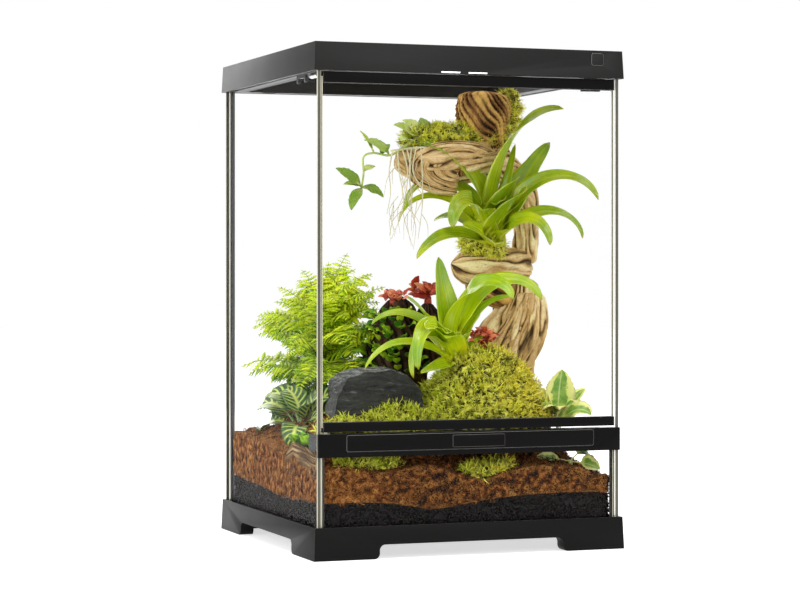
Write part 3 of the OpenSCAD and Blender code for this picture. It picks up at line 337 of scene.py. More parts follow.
class Heap:
    """Collects closed lofts in millimetres and turns them into one mesh object."""
    def __init__(self):
        self.co, self.faces, self.uv, self.tone, self.count = [], [], [], [], 0

    def loft(self, rings, uvs, tone=0.5):
        """Joins rings of points one after another and closes both ends."""
        m, k = rings.shape[:2]
        base = self.count
        self.co.append(rings.reshape(-1, 3))
        self.uv.append(uvs.reshape(-1, 2))
        self.tone.append(np.full(m * k, tone) if np.isscalar(tone) else np.asarray(tone).reshape(-1))
        i, j = np.meshgrid(np.arange(m - 1), np.arange(k), indexing="ij")
        a, b = base + i * k + j, base + i * k + (j + 1) % k
        self.faces += np.stack([a, b, b + k, a + k], -1).reshape(-1, 4).tolist()
        self.faces.append([base + q for q in range(k)][::-1])
        self.faces.append([base + (m - 1) * k + q for q in range(k)])
        self.count += m * k

    def build(self, name, material, slot, replaces):
        co = np.concatenate(self.co) * MM
        me = bpy.data.meshes.new(name)
        me.from_pydata(co.tolist(), [], self.faces)
        me.update()
        corner = np.zeros(len(me.loops), np.int32)
        me.loops.foreach_get("vertex_index", corner)
        uv = np.concatenate(self.uv)[corner].astype(np.float32)
        me.uv_layers.new(name="UVMap").data.foreach_set("uv", uv.ravel())
        write_tone(me, self.tone)
        me.materials.append(material)
        b = bmesh.new()
        b.from_mesh(me)
        bmesh.ops.recalc_face_normals(b, faces=b.faces)
        b.to_mesh(me)
        b.free()
        me.shade_smooth()
        piece = add_object(name, me)
        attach(piece, "cabinet")
        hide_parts(*replaces)
        print(name, len(me.polygons), "faces")
        return piece

def unit(v):
    return v / max(np.linalg.norm(v), 1e-9)

def smooth_path(points, n):
    """A smooth line of n steps a span through points of any number of values."""
    p = np.array(points, float)
    out = []
    for i in range(len(p) - 1):
        a, b, c, d = p[max(i - 1, 0)], p[i], p[i + 1], p[min(i + 2, len(p) - 1)]
        square, cube = 2 * a - 5 * b + 4 * c - d, 3 * b - a - 3 * c + d
        for t in np.arange(n) / n:
            out.append((2 * b + (c - a) * t + square * t ** 2 + cube * t ** 3) / 2)
    return np.array(out + [p[-1]])

def frames_along(line):
    """Side and up at each point of a line, turned as little as possible from one to the next."""
    d = np.gradient(line, axis=0)
    d /= np.maximum(np.linalg.norm(d, axis=1, keepdims=True), 1e-9)
    up = unit(np.cross(d[0], [0.31, 0.9, 0.11]))
    sides, ups = [], []
    for t in d:
        up = unit(up - np.dot(up, t) * t)
        sides.append(np.cross(t, up))
        ups.append(up)
    return np.array(sides), np.array(ups)

def tube(heap, path, sides=5, n=3, tone=0.5):
    """A round stem through points of x, y, z and radius."""
    p = smooth_path(path, n)
    s, u = frames_along(p[:, :3])
    a = np.arange(sides) / sides * 2 * math.pi
    spoke = np.cos(a)[None, :, None] * s[:, None] + np.sin(a)[None, :, None] * u[:, None]
    rings = p[:, None, :3] + p[:, None, 3:4] * spoke
    v = np.linspace(0, 1, len(p))
    uvs = np.stack(np.broadcast_arrays(a[None] / (2 * math.pi), v[:, None]), -1)
    heap.loft(rings, uvs, tone)

print("loft tools ready")

# %% Blades
def arch(root, heading, length, rise, bend, n, sway=0.0):
    """The middle line of a leaf: it leaves at the angle rise and bends down towards its tip."""
    p, out = np.array(root, float), [np.array(root, float)]
    for k in range(n):
        t = (k + 0.5) / n
        e, h = math.radians(rise - bend * t * t), math.radians(heading + sway * t * t)
        p = p + length / n * np.array([math.cos(e) * math.cos(h), math.cos(e) * math.sin(h), math.sin(e)])
        out.append(p)
    return np.array(out)

LIGHT_SIDE = np.array([-0.34, -0.88, 0.30])

def turned(d, side, up, share):
    """Turns a leaf's cross-section by a share towards the bright front, as a plant does."""
    light = LIGHT_SIDE - (LIGHT_SIDE * d).sum(-1, keepdims=True) * d
    light /= np.maximum(np.linalg.norm(light, axis=-1, keepdims=True), 1e-6)
    share = share * np.clip(((up * light).sum(-1, keepdims=True) + 0.7) / 0.7, 0, 1)
    up = up * (1 - share) + light * share
    up /= np.maximum(np.linalg.norm(up, axis=-1, keepdims=True), 1e-6)
    return np.cross(up, d), up

def blade(heap, line, heading, widths, cup, thick=0.5, across=9, tone=0.5, wave=0.0, waves=3.0, twist=0.0,
          face=0.0):
    """A closed leaf along a line. cup bends its cross-section up, wave ripples its edges and
    face turns it to the light."""
    m = len(line)
    t = np.linspace(0, 1, m)
    d = np.gradient(line, axis=0)
    d /= np.maximum(np.linalg.norm(d, axis=1, keepdims=True), 1e-9)
    h = math.radians(heading)
    side = np.tile(np.array([-math.sin(h), math.cos(h), 0.0]), (m, 1))
    side -= (side * d).sum(1, keepdims=True) * d
    side /= np.linalg.norm(side, axis=1, keepdims=True)
    up = np.cross(d, side)
    if face:
        side, up = turned(d, side, up, (face * np.clip(0.25 + 2.2 * t, 0, 1))[:, None])
    turn = twist * t ** 1.5
    side, up = (side * np.cos(turn)[:, None] + up * np.sin(turn)[:, None],
                up * np.cos(turn)[:, None] - side * np.sin(turn)[:, None])
    w = np.asarray(widths) / 2
    u = np.linspace(0, 1, across)
    s = 2 * u - 1
    ripple = np.sin(2 * math.pi * (waves * t[:, None] + 0.17 * s[None]))
    lift = (np.asarray(cup)[:, None] * w[:, None] * (np.sqrt(s ** 2 + 0.02) - 0.14)[None]
            + wave * w[:, None] * (s ** 2)[None] * ripple)
    top = line[:, None] + (w[:, None] * s[None])[..., None] * side[:, None] + lift[..., None] * up[:, None]
    under = top[:, 1:-1] - (thick * (1 - s[1:-1] ** 2) ** 0.5)[None, :, None] * up[:, None]
    rings = np.concatenate([top, under[:, ::-1]], 1)
    uu = np.concatenate([u, u[1:-1][::-1]])
    heap.loft(rings, np.stack(np.broadcast_arrays(uu[None], t[:, None]), -1), tone)

def profile(t, stops):
    return np.interp(t, [s[0] for s in stops], [s[1] for s in stops])

print("blade tools ready")

# %% [markdown]
# ## Soil
# The landscape is one smooth function of place: a plain at the glass, a broad table behind
# the door, a mossy hill on it and a rise in the back corner. The same function shapes the
# soil, seats the moss and tells how high everything else may stand.

# %% Heights of the landscape
ROOM, FLOOR = 148.0, 20.0
PLAIN, TABLE, HILL, CORNER = 58, 66, 42, 20
DRAIN = 32
# place along X, height and reach of each wave that the soil shows at the glass
SOIL_WAVES = [(-125, 8, 22), (-45, 8, 25), (10, -7, 20), (85, 5, 26), (150, -7, 20)]

def swell(d, r):
    return np.exp(-d * d / (2 * r * r))

def ground(x, y):
    """Height of the soil."""
    level = FLOOR + PLAIN + sum(h * swell(x - at, r) for at, h, r in SOIL_WAVES)
    level = level + TABLE * np.exp(-((x + 5) / 115) ** 4 - ((y + 8) / 92) ** 4)
    return (level + HILL * swell(np.hypot(x - 55, y + 42), 38)
            + CORNER * swell(np.hypot(x + 150, y - 130), 75))

def drain(x, y):
    """Height of the granules under the soil."""
    level = FLOOR + DRAIN - 8 * swell(x + 32, 28) + 3 * swell(x - 100, 40)
    return level + 5 * swell(y - 150, 60) - 3 * swell(y + 40, 40)

def rough(points, size, seed=0.0, octaves=4):
    """Cloudy noise between about -1 and 1 at each point, in millimetres."""
    return np.array([noise.fractal(Vector((p[0] / size + seed, p[1] / size, p[2] / size)), 0.9, 2.1, octaves)
                     for p in points])

def land(name, lower, upper, material, node, room, lump):
    """A closed block of ground between two height functions, with lumps on its top."""
    n = 96
    q = np.linspace(-1, 1, n + 1)
    x, y = np.meshgrid(q, q)
    corner = 1 - 3.6 / room * ((np.abs(x) > 0.985) & (np.abs(y) > 0.985))
    x, y = x * room * corner, y * room * corner
    top, low = upper(x, y), lower(x, y)
    flat = np.stack([x.ravel(), y.ravel(), top.ravel()], -1)
    top = top + lump * rough(flat, 9, 3.1).reshape(x.shape) - lump * 0.6
    layers = [np.stack([x, y, low + (top - low) * t], -1).reshape(-1, 3) for t in (0, 1)]
    m = (n + 1) ** 2
    idx = np.arange(m).reshape(n + 1, n + 1)
    a, b, c, d = idx[:-1, :-1], idx[:-1, 1:], idx[1:, 1:], idx[1:, :-1]
    cells = np.stack([a, b, c, d], -1).reshape(-1, 4)
    rim = np.concatenate([idx[0, :-1], idx[:-1, -1], idx[-1, :0:-1], idx[:0:-1, 0]])
    nxt = np.roll(rim, -1)
    walls = np.stack([rim, nxt, nxt + m, rim + m], -1)
    faces = np.concatenate([cells[:, ::-1], cells + m, walls]).tolist()
    me = bpy.data.meshes.new(name)
    me.from_pydata((np.concatenate(layers) * MM).tolist(), [], faces)
    me.materials.append(material)
    me.shade_smooth()
    me.set_sharp_from_angle(angle=math.radians(50))
    piece = add_object(name, me)
    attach(piece, "cabinet")
    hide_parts(node)

# %% Finishes of soil and granules
def coir_finish(name, thread):
    """Matted fibres: thin bright lines in three layers over dark crumbs. A line lies where a
    noise passes its middle. Painted light makes the left side lighter and warmer, as by a window."""
    f = Finish(name)
    spot = f.place()
    clump, crumb = f.grain(spot, 60, 6, 0.7), f.grain(spot, 420, 6, 0.8)
    # Painted light: lighter and warmer towards the left, where the window light falls.
    side = f.math("MULTIPLY_ADD", f.parts(spot)[0], 2.0, 0.5)
    left_lit_soil = f.ramp(side, (0.05, (0.36, 0.11, 0.018)), (0.4, (0.12, 0.032, 0.007)), (1.0, (0.10, 0.030, 0.008)))
    dark = f.mix(0.88, left_lit_soil, (0.014, 0.005, 0.003))
    body = f.mix(f.ramp(clump, (0.42, 0.0), (0.6, 0.8)), dark, left_lit_soil)
    body = f.mix(f.ramp(crumb, (0.40, 0.95), (0.55, 0.0)), body, dark)
    for k, (scale, thin) in enumerate(((75, 0.013), (120, 0.017), (190, 0.024))):
        wind = f.grain(f.place((1, 1, 1.4), (0.7 * k, 0.4 + k, 0.2)), scale, 2, 0.5, 1.8)
        off = f.math("ABSOLUTE", f.math("SUBTRACT", wind, 0.5))
        body = f.mix(f.ramp(off, (0.0, thread), (thin, thread), (thin * 1.7, 0.0)), body,
                     f.mix(0.25 + 0.2 * k, left_lit_soil, (0.62, 0.31, 0.09)))
    f.set(Base_Color=body, Roughness=0.85, Specular_IOR_Level=0.12)
    f.bump(crumb, 0.9, 0.0015)
    return f.mat

def loose_fibre_finish():
    f = Finish("loose_coconut_fibre")
    spot = f.place()
    # Painted light: the fibres are lighter on the left side and darker on the right.
    side = f.math("MULTIPLY_ADD", f.parts(spot)[0], 2.0, 0.5)
    pick = f.grain(spot, 170, 2, 0.5)
    left = f.ramp(pick, (0.38, (0.07, 0.02, 0.005)), (0.5, (0.36, 0.115, 0.02)), (0.66, (0.70, 0.36, 0.11)))
    right = f.ramp(pick, (0.42, (0.008, 0.003, 0.002)), (0.53, (0.13, 0.034, 0.007)),
                   (0.68, (0.52, 0.21, 0.05)))
    f.set(Base_Color=f.mix(f.ramp(side, (0.1, 0.0), (0.4, 1.0)), left, right), Roughness=0.7,
          Specular_IOR_Level=0.2)
    f.bump(f.grain(spot, 900, 2), 0.3, 0.0003)
    return f.mat

def granule_finish(name, low, high):
    f = Finish(name)
    spot = f.place()
    f.set(Base_Color=f.ramp(f.grain(spot, 300, 3), (0.35, low), (0.7, high)), Roughness=0.3,
          Specular_IOR_Level=0.16)
    f.bump(f.grain(spot, 1600, 3), 0.5, 0.0003)
    return f.mat

coir, fibre = coir_finish("coconut_fibre", 0.85), loose_fibre_finish()
granules = granule_finish("fired_clay_granules", (0.001, 0.0007, 0.0005), (0.014, 0.009, 0.006))
# Painted shade: the bed under the granules is near black, for the shade in the gaps between them.
painted_shade_granule_gaps = granule_finish("painted_shade_between_granules", (0.001, 0.001, 0.001), (0.003, 0.002, 0.002))
land("coir_bed", lambda x, y: drain(x, y) + 0.4, ground, coir, "substrate", 147.2, lump=2.6)
land("granule_bed", lambda x, y: FLOOR + 0.2 + 0 * x, drain, painted_shade_granule_gaps, "drainage_layer",
     146.6,
     lump=0.4)
print("soil and granules laid")

# %% [markdown]
# ### Scattering with Geometry Nodes
# Fibres, granules and moss are thousands of small copies on a surface, which is what Geometry
# Nodes do well. One tree serves them all: it spreads points over a surface, turns a small
# item to stand on it, makes the copies real and gives them their finish.

# %% One scatter tree
def scatter_tree():
    g = bpy.data.node_groups.new("scatter_on_surface", "GeometryNodeTree")
    face = g.interface
    face.new_socket("Geometry", in_out="INPUT", socket_type="NodeSocketGeometry")
    for name, kind, value in (("Item", "NodeSocketObject", None),
                              ("Per square metre", "NodeSocketFloat", 1e5),
                              ("Smallest", "NodeSocketFloat", 0.7), ("Largest", "NodeSocketFloat", 1.2),
                              ("Lean", "NodeSocketFloat", 0.4), ("Seed", "NodeSocketInt", 1),
                              ("Finish", "NodeSocketMaterial", None)):
        s = face.new_socket(name, in_out="INPUT", socket_type=kind)
        if value is not None:
            s.default_value = value
    face.new_socket("Geometry", in_out="OUTPUT", socket_type="NodeSocketGeometry")
    n, link = g.nodes.new, g.links.new
    given, result = n("NodeGroupInput"), n("NodeGroupOutput")
    points = n("GeometryNodeDistributePointsOnFaces")
    item = n("GeometryNodeObjectInfo")
    item.transform_space = "ORIGINAL"
    turn = n("FunctionNodeRandomValue")
    turn.data_type = "FLOAT_VECTOR"
    lean = n("ShaderNodeCombineXYZ")
    less = n("ShaderNodeMath")
    less.operation = "MULTIPLY"
    less.inputs[1].default_value = -1
    back = n("ShaderNodeCombineXYZ")
    lean.inputs[2].default_value = 2 * math.pi
    spin = n("FunctionNodeRotateRotation")
    spin.rotation_space = "LOCAL"
    size = n("FunctionNodeRandomValue")
    copies, real, paint = n("GeometryNodeInstanceOnPoints"), n("GeometryNodeRealizeInstances"), n("GeometryNodeSetMaterial")
    link(given.outputs["Geometry"], points.inputs["Mesh"])
    link(given.outputs["Per square metre"], points.inputs["Density"])
    link(given.outputs["Seed"], points.inputs["Seed"])
    link(given.outputs["Item"], item.inputs["Object"])
    for axis in (0, 1):
        link(given.outputs["Lean"], lean.inputs[axis])
        link(less.outputs[0], back.inputs[axis])
    link(given.outputs["Lean"], less.inputs[0])
    link(back.outputs[0], turn.inputs[0])
    link(lean.outputs[0], turn.inputs[1])
    link(given.outputs["Seed"], turn.inputs["Seed"])
    link(points.outputs["Rotation"], spin.inputs["Rotation"])
    link(turn.outputs[0], spin.inputs["Rotate By"])
    link(given.outputs["Smallest"], size.inputs[2])
    link(given.outputs["Largest"], size.inputs[3])
    link(given.outputs["Seed"], size.inputs["Seed"])
    link(points.outputs["Points"], copies.inputs["Points"])
    link(item.outputs["Geometry"], copies.inputs["Instance"])
    link(spin.outputs[0], copies.inputs["Rotation"])
    link(size.outputs[1], copies.inputs["Scale"])
    link(copies.outputs[0], real.inputs[0])
    link(real.outputs[0], paint.inputs["Geometry"])
    link(given.outputs["Finish"], paint.inputs["Material"])
    link(paint.outputs[0], result.inputs[0])
    return g

SCATTER = scatter_tree()

def scatter(surface, item, density, small, large, lean, seed, material, name, nodes):
    """Scatters an item over a surface, makes a plain mesh of the copies and throws the helpers away."""
    m = surface.modifiers.new("scatter", "NODES")
    m.node_group = SCATTER
    key = {s.name: s.identifier for s in SCATTER.interface.items_tree if s.in_out == "INPUT"}
    for label, value in (("Item", item), ("Per square metre", float(density)), ("Smallest", small),
                         ("Largest", large),
                         ("Lean", lean), ("Seed", seed), ("Finish", material)):
        m[key[label]] = value
    surface.update_tag()
    flat = bpy.data.meshes.new_from_object(surface.evaluated_get(bpy.context.evaluated_depsgraph_get()))
    surface.modifiers.remove(m)
    flat.materials.clear()
    flat.materials.append(material)
    piece = bpy.data.objects.new(name, flat)
    scene.collection.objects.link(piece)
    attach(piece, "cabinet")
    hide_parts(*nodes)
    print(name, len(flat.polygons), "faces")
    return piece

def helper(name, co, faces):
    me = bpy.data.meshes.new(name)
    me.from_pydata((np.asarray(co) * MM).tolist(), [], faces)
    o = bpy.data.objects.new(name, me)
    scene.collection.objects.link(o)
    return o

def discard(*objects):
    for o in objects:
        bpy.data.objects.remove(o)

print("scatter tree has", len(SCATTER.nodes), "nodes")

# %% Small items to scatter
def strand_item(name, strands):
    """Thin bent strands in one small object: each is a list of points of x, y, z and radius.
    The tone of a point is how far along its strand it lies."""
    heap, sides = Heap(), 3
    for path in strands:
        tube(heap, path, sides, 1)
        heap.tone[-1] = np.repeat(np.linspace(0, 1, len(path)), sides)
    item = helper(name, np.concatenate(heap.co), heap.faces)
    write_tone(item.data, heap.tone)
    return item

def pebble_item(name, radius):
    b = bmesh.new()
    bmesh.ops.create_icosphere(b, subdivisions=1, radius=radius)
    co = [(v.co.x, v.co.y * 0.85, v.co.z * 0.7) for v in b.verts]
    faces = [[v.index for v in f.verts] for f in b.faces]
    b.free()
    return helper(name, co, faces)

fibres_flat = strand_item("fibre_item", [
    [(-8, -1, 0.1, 0.3), (-3, 1.4, 0.7, 0.42), (3, 0.6, 0.5, 0.4), (8, -2, 0.2, 0.2)],
    [(-3, -6, 0.2, 0.24), (-1, -1, 0.9, 0.36), (1.5, 3, 0.5, 0.3), (1, 7, 0.1, 0.16)],
    [(-6, 4, 0.2, 0.2), (-1, 3.4, 0.5, 0.34), (4, 5, 0.2, 0.2)]])
fibres_loose = strand_item("loose_fibre_item", [
    [(-7, 0, -0.5, 0.3), (-2, 1.5, 1.6, 0.4), (3, 0, 2.2, 0.34), (7, -2, 0.4, 0.16)],
    [(0, -5, -0.5, 0.3), (-1, -1, 2.4, 0.34), (2, 3, 1.2, 0.16)],
    [(0, 0, -1, 0.3), (1, 0.6, 2.4, 0.3), (0.4, 2, 4.6, 0.12)]])
sprig = strand_item("moss_item", [
    [(0, 0, -1, 0.28), (1.2, 0.3, 2.0, 0.34), (3.0, 0.2, 4.0, 0.3), (5.4, 1.2, 5.2, 0.1)],
    [(0, 0, 0, 0.26), (-1.4, 0.9, 2.4, 0.32), (-3.6, 1.2, 3.6, 0.26), (-5.6, 0.2, 3.2, 0.08)],
    [(0, 0, 0, 0.26), (0.4, -1.8, 3.0, 0.32), (-0.4, -3.6, 4.6, 0.22), (-1.6, -5.0, 4.4, 0.08)],
    [(0, 0, 0, 0.26), (0.6, 1.6, 3.2, 0.32), (0.2, 2.8, 5.6, 0.26), (1.2, 3.4, 7.6, 0.08)],
    [(0, 0, 0, 0.24), (-0.6, -0.2, 3.4, 0.3), (-0.2, -0.8, 6.0, 0.2), (-1.4, -1.2, 7.2, 0.08)]])
pebble = pebble_item("granule_item", 1.45)

def side_sheet(name, lower, upper, inset, steps=60):
    """The four upright faces of the ground where it meets the glass, facing out."""
    co, faces = [], []
    h = ROOM - inset
    for turn in range(4):
        for k in range(steps + 1):
            t = (k / steps * 2 - 1) * (h - 3)
            x, y = [(t, -h), (h, t), (-t, h), (-h, -t)][turn]
            co += [(x, y, lower(x, y)), (x, y, upper(x, y))]
        base = turn * 2 * (steps + 1)
        faces += [[base + 2 * k, base + 2 * k + 2, base + 2 * k + 3, base + 2 * k + 1] for k in range(steps)]
    return helper(name, co, faces)

def top_sheet(name, test):
    """The top of the ground, just under its surface, where test(x, y) holds."""
    n, raise_by = 70, -1.0
    q = np.linspace(-ROOM + 8, ROOM - 8, n + 1)
    x, y = np.meshgrid(q, q)
    z = ground(x, y) + raise_by
    idx = np.arange((n + 1) ** 2).reshape(n + 1, n + 1)
    cells = np.stack([idx[:-1, :-1], idx[:-1, 1:], idx[1:, 1:], idx[1:, :-1]], -1).reshape(-1, 4)
    co = np.stack([x, y, z], -1).reshape(-1, 3)
    keep = [c.tolist() for c in cells if test(*co[c].mean(0)[:2])]
    return helper(name, co, keep)

gravel_sides = side_sheet("gravel_sides", lambda x, y: FLOOR + 1.6, lambda x, y: drain(x, y) - 0.6, 0.55)
scatter(gravel_sides, pebble, 210000, 0.6, 1.0, 0.8, 3, granules, "granule_faces",
        ["drainage_layer"])
soil_sides = side_sheet("soil_sides", lambda x, y: drain(x, y) + 1.2, lambda x, y: ground(x, y) - 2.5, 0.5)
scatter(soil_sides, fibres_flat, 60000, 0.4, 0.95, 0.03, 5, fibre, "fibre_faces", ["substrate"])
soil_top = top_sheet("soil_top", lambda x, y: ground(x, y) < 132 and not (y < -104 and ground(x, y) > 92))
scatter(soil_top, fibres_loose, 34000, 0.6, 1.2, 0.6, 7, fibre, "fibre_tops", ["substrate"])
discard(gravel_sides, soil_sides, soil_top)

# %% [markdown]
# ## Wood
# Driftwood is a set of limbs with deep grooves that run along them. Each limb is a dense loft
# whose radius follows a sine that winds round the limb and wanders along it, which leaves round
# ridges with sharp valleys between them. How deep a point lies is kept as an attribute, so that
# the finish can paint shade into the valleys and light onto the crests.

# %% Limbs with grooves
def limb(heap, path, deep=3.0, sides=120, step=2.0, seed=1, twist=1.0, spacing=10.0, fine=0.35):
    """A limb of rounded ridges with sharp valleys between them, which wind round it.
    The tone paints shade into a valley and light onto a crest, and differs a little from ridge to ridge."""
    p = smooth_path(path, 12)
    run = np.concatenate([[0], np.cumsum(np.linalg.norm(np.diff(p[:, :3], axis=0), axis=1))])
    n = max(int(run[-1] / step), 8)
    along = np.linspace(0, run[-1], n)
    p = np.stack([np.interp(along, run, p[:, c]) for c in range(4)], -1)
    s, u = frames_along(p[:, :3])
    a = (np.arange(sides) / sides * 2 * math.pi)[None, :]
    far, r = along[:, None], p[:, 3:4]
    dice = np.random.default_rng(seed)
    q = dice.random(12) * 6.3
    count = max(4, round(2 * math.pi * float(r.mean()) / spacing))
    bend = (1.1 * np.sin(far / 19 + 2 * a + q[0]) + 0.8 * np.sin(far / 37 - 3 * a + q[1])
            + 0.5 * np.sin(far / 9 + 5 * a + q[2]) + 0.25 * np.sin(far / 4.5 - 7 * a + q[3]))
    phase = count / 2 * (a - twist * far / 100) + bend
    small = phase * 3 + 1.3 * np.sin(far / 7 + 3 * a + q[4])
    valley, crack = (1 - np.abs(np.sin(phase))) ** 1.15, (1 - np.abs(np.sin(small))) ** 2.5
    strong = 0.65 + 0.35 * np.sin(far / 23 + 4 * a + q[5])
    cut = valley * strong + 0.15 * crack
    lumps = sum(np.sin(m * a + f * far + q[6 + i]) / m for i,
                (m, f) in enumerate(((2, 0.05), (3, -0.07), (5, 0.045), (4, 0.11))))
    grit = sum(np.sin(m * a + f * far + q[10]) for m, f in ((29, 0.9), (43, -1.3), (37, 1.9)))
    r = r * (1 + 0.05 * lumps) - deep * cut * np.clip(r / 9, 0.4, 1) + 0.18 * fine * grit
    ends = np.clip(np.minimum(np.arange(n), np.arange(n)[::-1]) / 3.0, 0, 1) ** 0.5
    r = r * (0.3 + 0.7 * ends[:, None])
    rings = p[:, None, :3] + r[..., None] * (np.cos(a)[..., None] * s[:, None] + np.sin(a)[..., None] * u[:,
                                        None])
    uvs = np.stack(np.broadcast_arrays(a / (2 * math.pi) * float(p[:, 3].mean()) / 16, far / 100), -1)
    ridge = 0.16 * np.sin(np.floor(phase / math.pi) * 4.7 + q[9])
    # Painted shade and light: the tone is darkest in valleys and cracks, lightest on crests.
    heap.loft(rings, uvs, np.clip(0.86 + ridge - 0.80 * valley * strong - 0.16 * crack, 0, 1))

def wood_finish(name, crest, body, valley_shade, rough_level=0.75):
    f = Finish(name)
    depth = f.attribute("tone")
    spot = f.place()
    uv = f.add("ShaderNodeTexCoord").outputs["UV"]
    grain_line = f.grain(f.add("ShaderNodeMapping", {"Vector": uv, "Scale": (30.0, 4.0, 1.0)}).outputs[0],
                         1.0, 8, 0.75, 0.6)
    patch, speck = f.grain(spot, 40, 6, 0.7), f.grain(spot, 520, 6, 0.8)
    level = f.math("ADD", depth, f.math("MULTIPLY_ADD", patch, 0.7, -0.35))
    # Painted shade in the valleys and painted light on the crests, read from the tone.
    tone = f.ramp(level, (0.2, valley_shade), (0.42, shade(body, 0.35)), (0.62, body), (0.86, crest),
                  (1.0, shade(crest, 1.2)))
    tone = f.mix(f.ramp(grain_line, (0.36, 0.45), (0.48, 0.0)), tone, shade(body, 0.3))
    tone = f.mix(f.ramp(speck, (0.36, 0.5), (0.46, 0.0)), tone, shade(body, 0.35))
    tone = f.mix(f.ramp(speck, (0.58, 0.0), (0.72, 0.5)), tone, shade(crest, 1.25))
    f.set(Base_Color=tone, Roughness=rough_level, Specular_IOR_Level=0.2)
    f.bump(f.mix(0.5, speck, grain_line), 0.9, 0.0022)
    return f.mat

driftwood_finish = wood_finish("weathered_driftwood", (0.94, 0.72, 0.38), (0.66, 0.41, 0.15),
                               (0.035, 0.013, 0.004))
stump_finish = wood_finish("dark_driftwood", (0.78, 0.48, 0.13), (0.30, 0.13, 0.04), (0.012, 0.005, 0.002),
                           0.85)
bark_finish = wood_finish("dark_bark", (0.085, 0.045, 0.025), (0.035, 0.018, 0.011), (0.006, 0.003, 0.002),
                          0.9)
cork_finish = wood_finish("crinkled_cork", (0.62, 0.47, 0.26), (0.38, 0.23, 0.10), (0.07, 0.03, 0.012), 0.8)

TRUNK = [(78, -24, 140, 35), (82, -24, 170, 35), (89, -25, 195, 32), (99, -26, 219, 27),
         (104, -27, 240, 19), (106, -28, 262, 15)]
MIDDLE = [(110, -28, 274, 16), (92, -34, 274, 18), (66, -42, 272, 20), (44, -44, 272, 19),
          (31, -43, 274, 14), (23, -42, 276, 8)]
RISER = [(76, -32, 378, 17), (92, -28, 367, 15), (107, -24, 350, 14), (112, -22, 330, 13),
         (111, -24, 310, 13),
         (108, -28, 290, 14), (104, -30, 276, 14)]
KNOT = [(88, -32, 378, 14), (62, -36, 381, 20), (32, -38, 377, 23), (4, -38, 374, 22), (-18, -37, 378, 18),
        (-32, -36, 385, 12)]
NECK = [(46, -30, 262, 12), (70, -28, 249, 15), (94, -27, 240, 14)]
STUMP = [(66, -34, 384, 13), (64, -34, 402, 19), (61, -34, 416, 26), (61, -34, 432, 28), (62, -34, 448, 25)]

def driftwood():
    wood = Heap()
    limb(wood, TRUNK, 5.0, 170, seed=3, twist=1.5, spacing=14)
    limb(wood, MIDDLE, 3.8, 130, seed=5, twist=0.3, spacing=9)
    limb(wood, RISER, 3.2, 100, seed=8, twist=2.4, spacing=9)
    limb(wood, KNOT, 3.8, 140, seed=6, twist=1.0, spacing=10)
    # thick strands wind over the trunk
    for k in range(6):
        lift = k * 10
        limb(wood, [(44 + lift, -46 - 2 * (k % 3), 146 + 5 * k, 9), (60 + lift, -55, 180 + 5 * k, 10),
                    (84 + lift * 0.6, -50, 214 + 3 * k, 9),
                    (100 + lift * 0.3, -42, 246, 7)], 2.6, 70, seed=30 + k, twist=1.2, spacing=11)
    # rings of wood swirl round the knot hole
    for k, size in enumerate((13, 23, 34, 46)):
        turn = np.radians(np.linspace(62 - 8 * k, 268, 9))
        hoop = [(27 + size * 1.1 * math.cos(q), -55.5 + 0.10 * size, 368 + size * 0.50 * math.sin(q) + 2,
                 6.2 - 0.3 * k) for q in turn]
        limb(wood, [(60 + 6 * k, -50, 379 + 4 * k, 5.5)] + hoop, 1.8, 60, seed=40 + k, twist=0.8, spacing=8)
    wood.build("grooved_driftwood", driftwood_finish, "driftwood", ["driftwood"])
    dark = Heap()
    limb(dark, STUMP, 3.6, 170, 1.6, seed=12, twist=2.6, spacing=6, fine=2.6)
    limb(dark, NECK, 2.6, 80, seed=13, twist=1.0, spacing=8, fine=0.6)
    limb(dark, [(27, -50, 368, 5), (26, -58, 368, 6.5), (25, -61, 368, 4)], 0.3, 24, seed=14)
    dark.build("dark_wood", stump_finish, "driftwood", ["driftwood"])

driftwood()

# %% Bark, cork and rock
mound = Heap()
limb(mound, [(-22, 8, 138, 34), (-20, 8, 165, 33), (-18, 8, 190, 30), (-17, 7, 214, 24), (-15, 5, 232, 17),
             (-13, 6, 243, 7)], 5.0, 120, seed=21, twist=2.0, spacing=9, fine=0.9)
limb(mound, [(6, -6, 172, 18), (8, -8, 200, 17), (10, -8, 224, 12), (11, -8, 237, 7)], 3.5, 80, seed=22,
     twist=2.0, spacing=8,
     fine=0.9)
mound.build("dark_bark_mound", bark_finish, "dark_bark", ["bark_mound"])

def crinkled_stump():
    """A bark block against the left pane, with folds that run round it; its tone paints shade where a fold
    sinks and light where it rises.
    """
    heap, rings = Heap(), []
    y = np.linspace(-40, -131, 70)
    half = np.interp(-y, [40, 58, 78, 98, 116, 131], [11, 16, 17, 17, 14, 12])
    mid = np.interp(-y, [40, 58, 78, 98, 116, 131], [83, 87, 85.5, 85.5, 83, 83.5])
    bulge = np.interp(-y, [40, 58, 78, 98, 116, 131], [8, 12, 14, 14.5, 12, 8])
    a = np.linspace(0, 2 * math.pi, 64, endpoint=False)
    tone = np.zeros((70, 64))
    for i, yy in enumerate(y):
        c, s = np.cos(a), np.sin(a)
        r = 1 + np.array([0.16 * noise.noise(Vector((3 * q, yy / 30, 2.2))) for q in s])
        fold = np.array([noise.noise(Vector((q * 2.2, yy / 40, 1.3 + 0.4 * w))) for q, w in zip(s * 4.5, c)])
        # Painted shade and light: the tone follows the noise that shapes the folds.
        tone[i] = 0.45 + 0.9 * fold
        x = -149 + np.clip(bulge[i] * (0.12 + np.maximum(c, 0)) * r + 2.0 * fold, 0.15, 20)
        rings.append(np.stack([x, np.full(64, yy), mid[i] + half[i] * s * r], -1))
    heap.loft(np.array(rings), np.stack(np.broadcast_arrays((a / 6.283)[None], (y / 90)[:, None]), -1), tone)
    heap.build("crinkled_bark_stump", cork_finish, "cork", ["bark_stump"])

crinkled_stump()

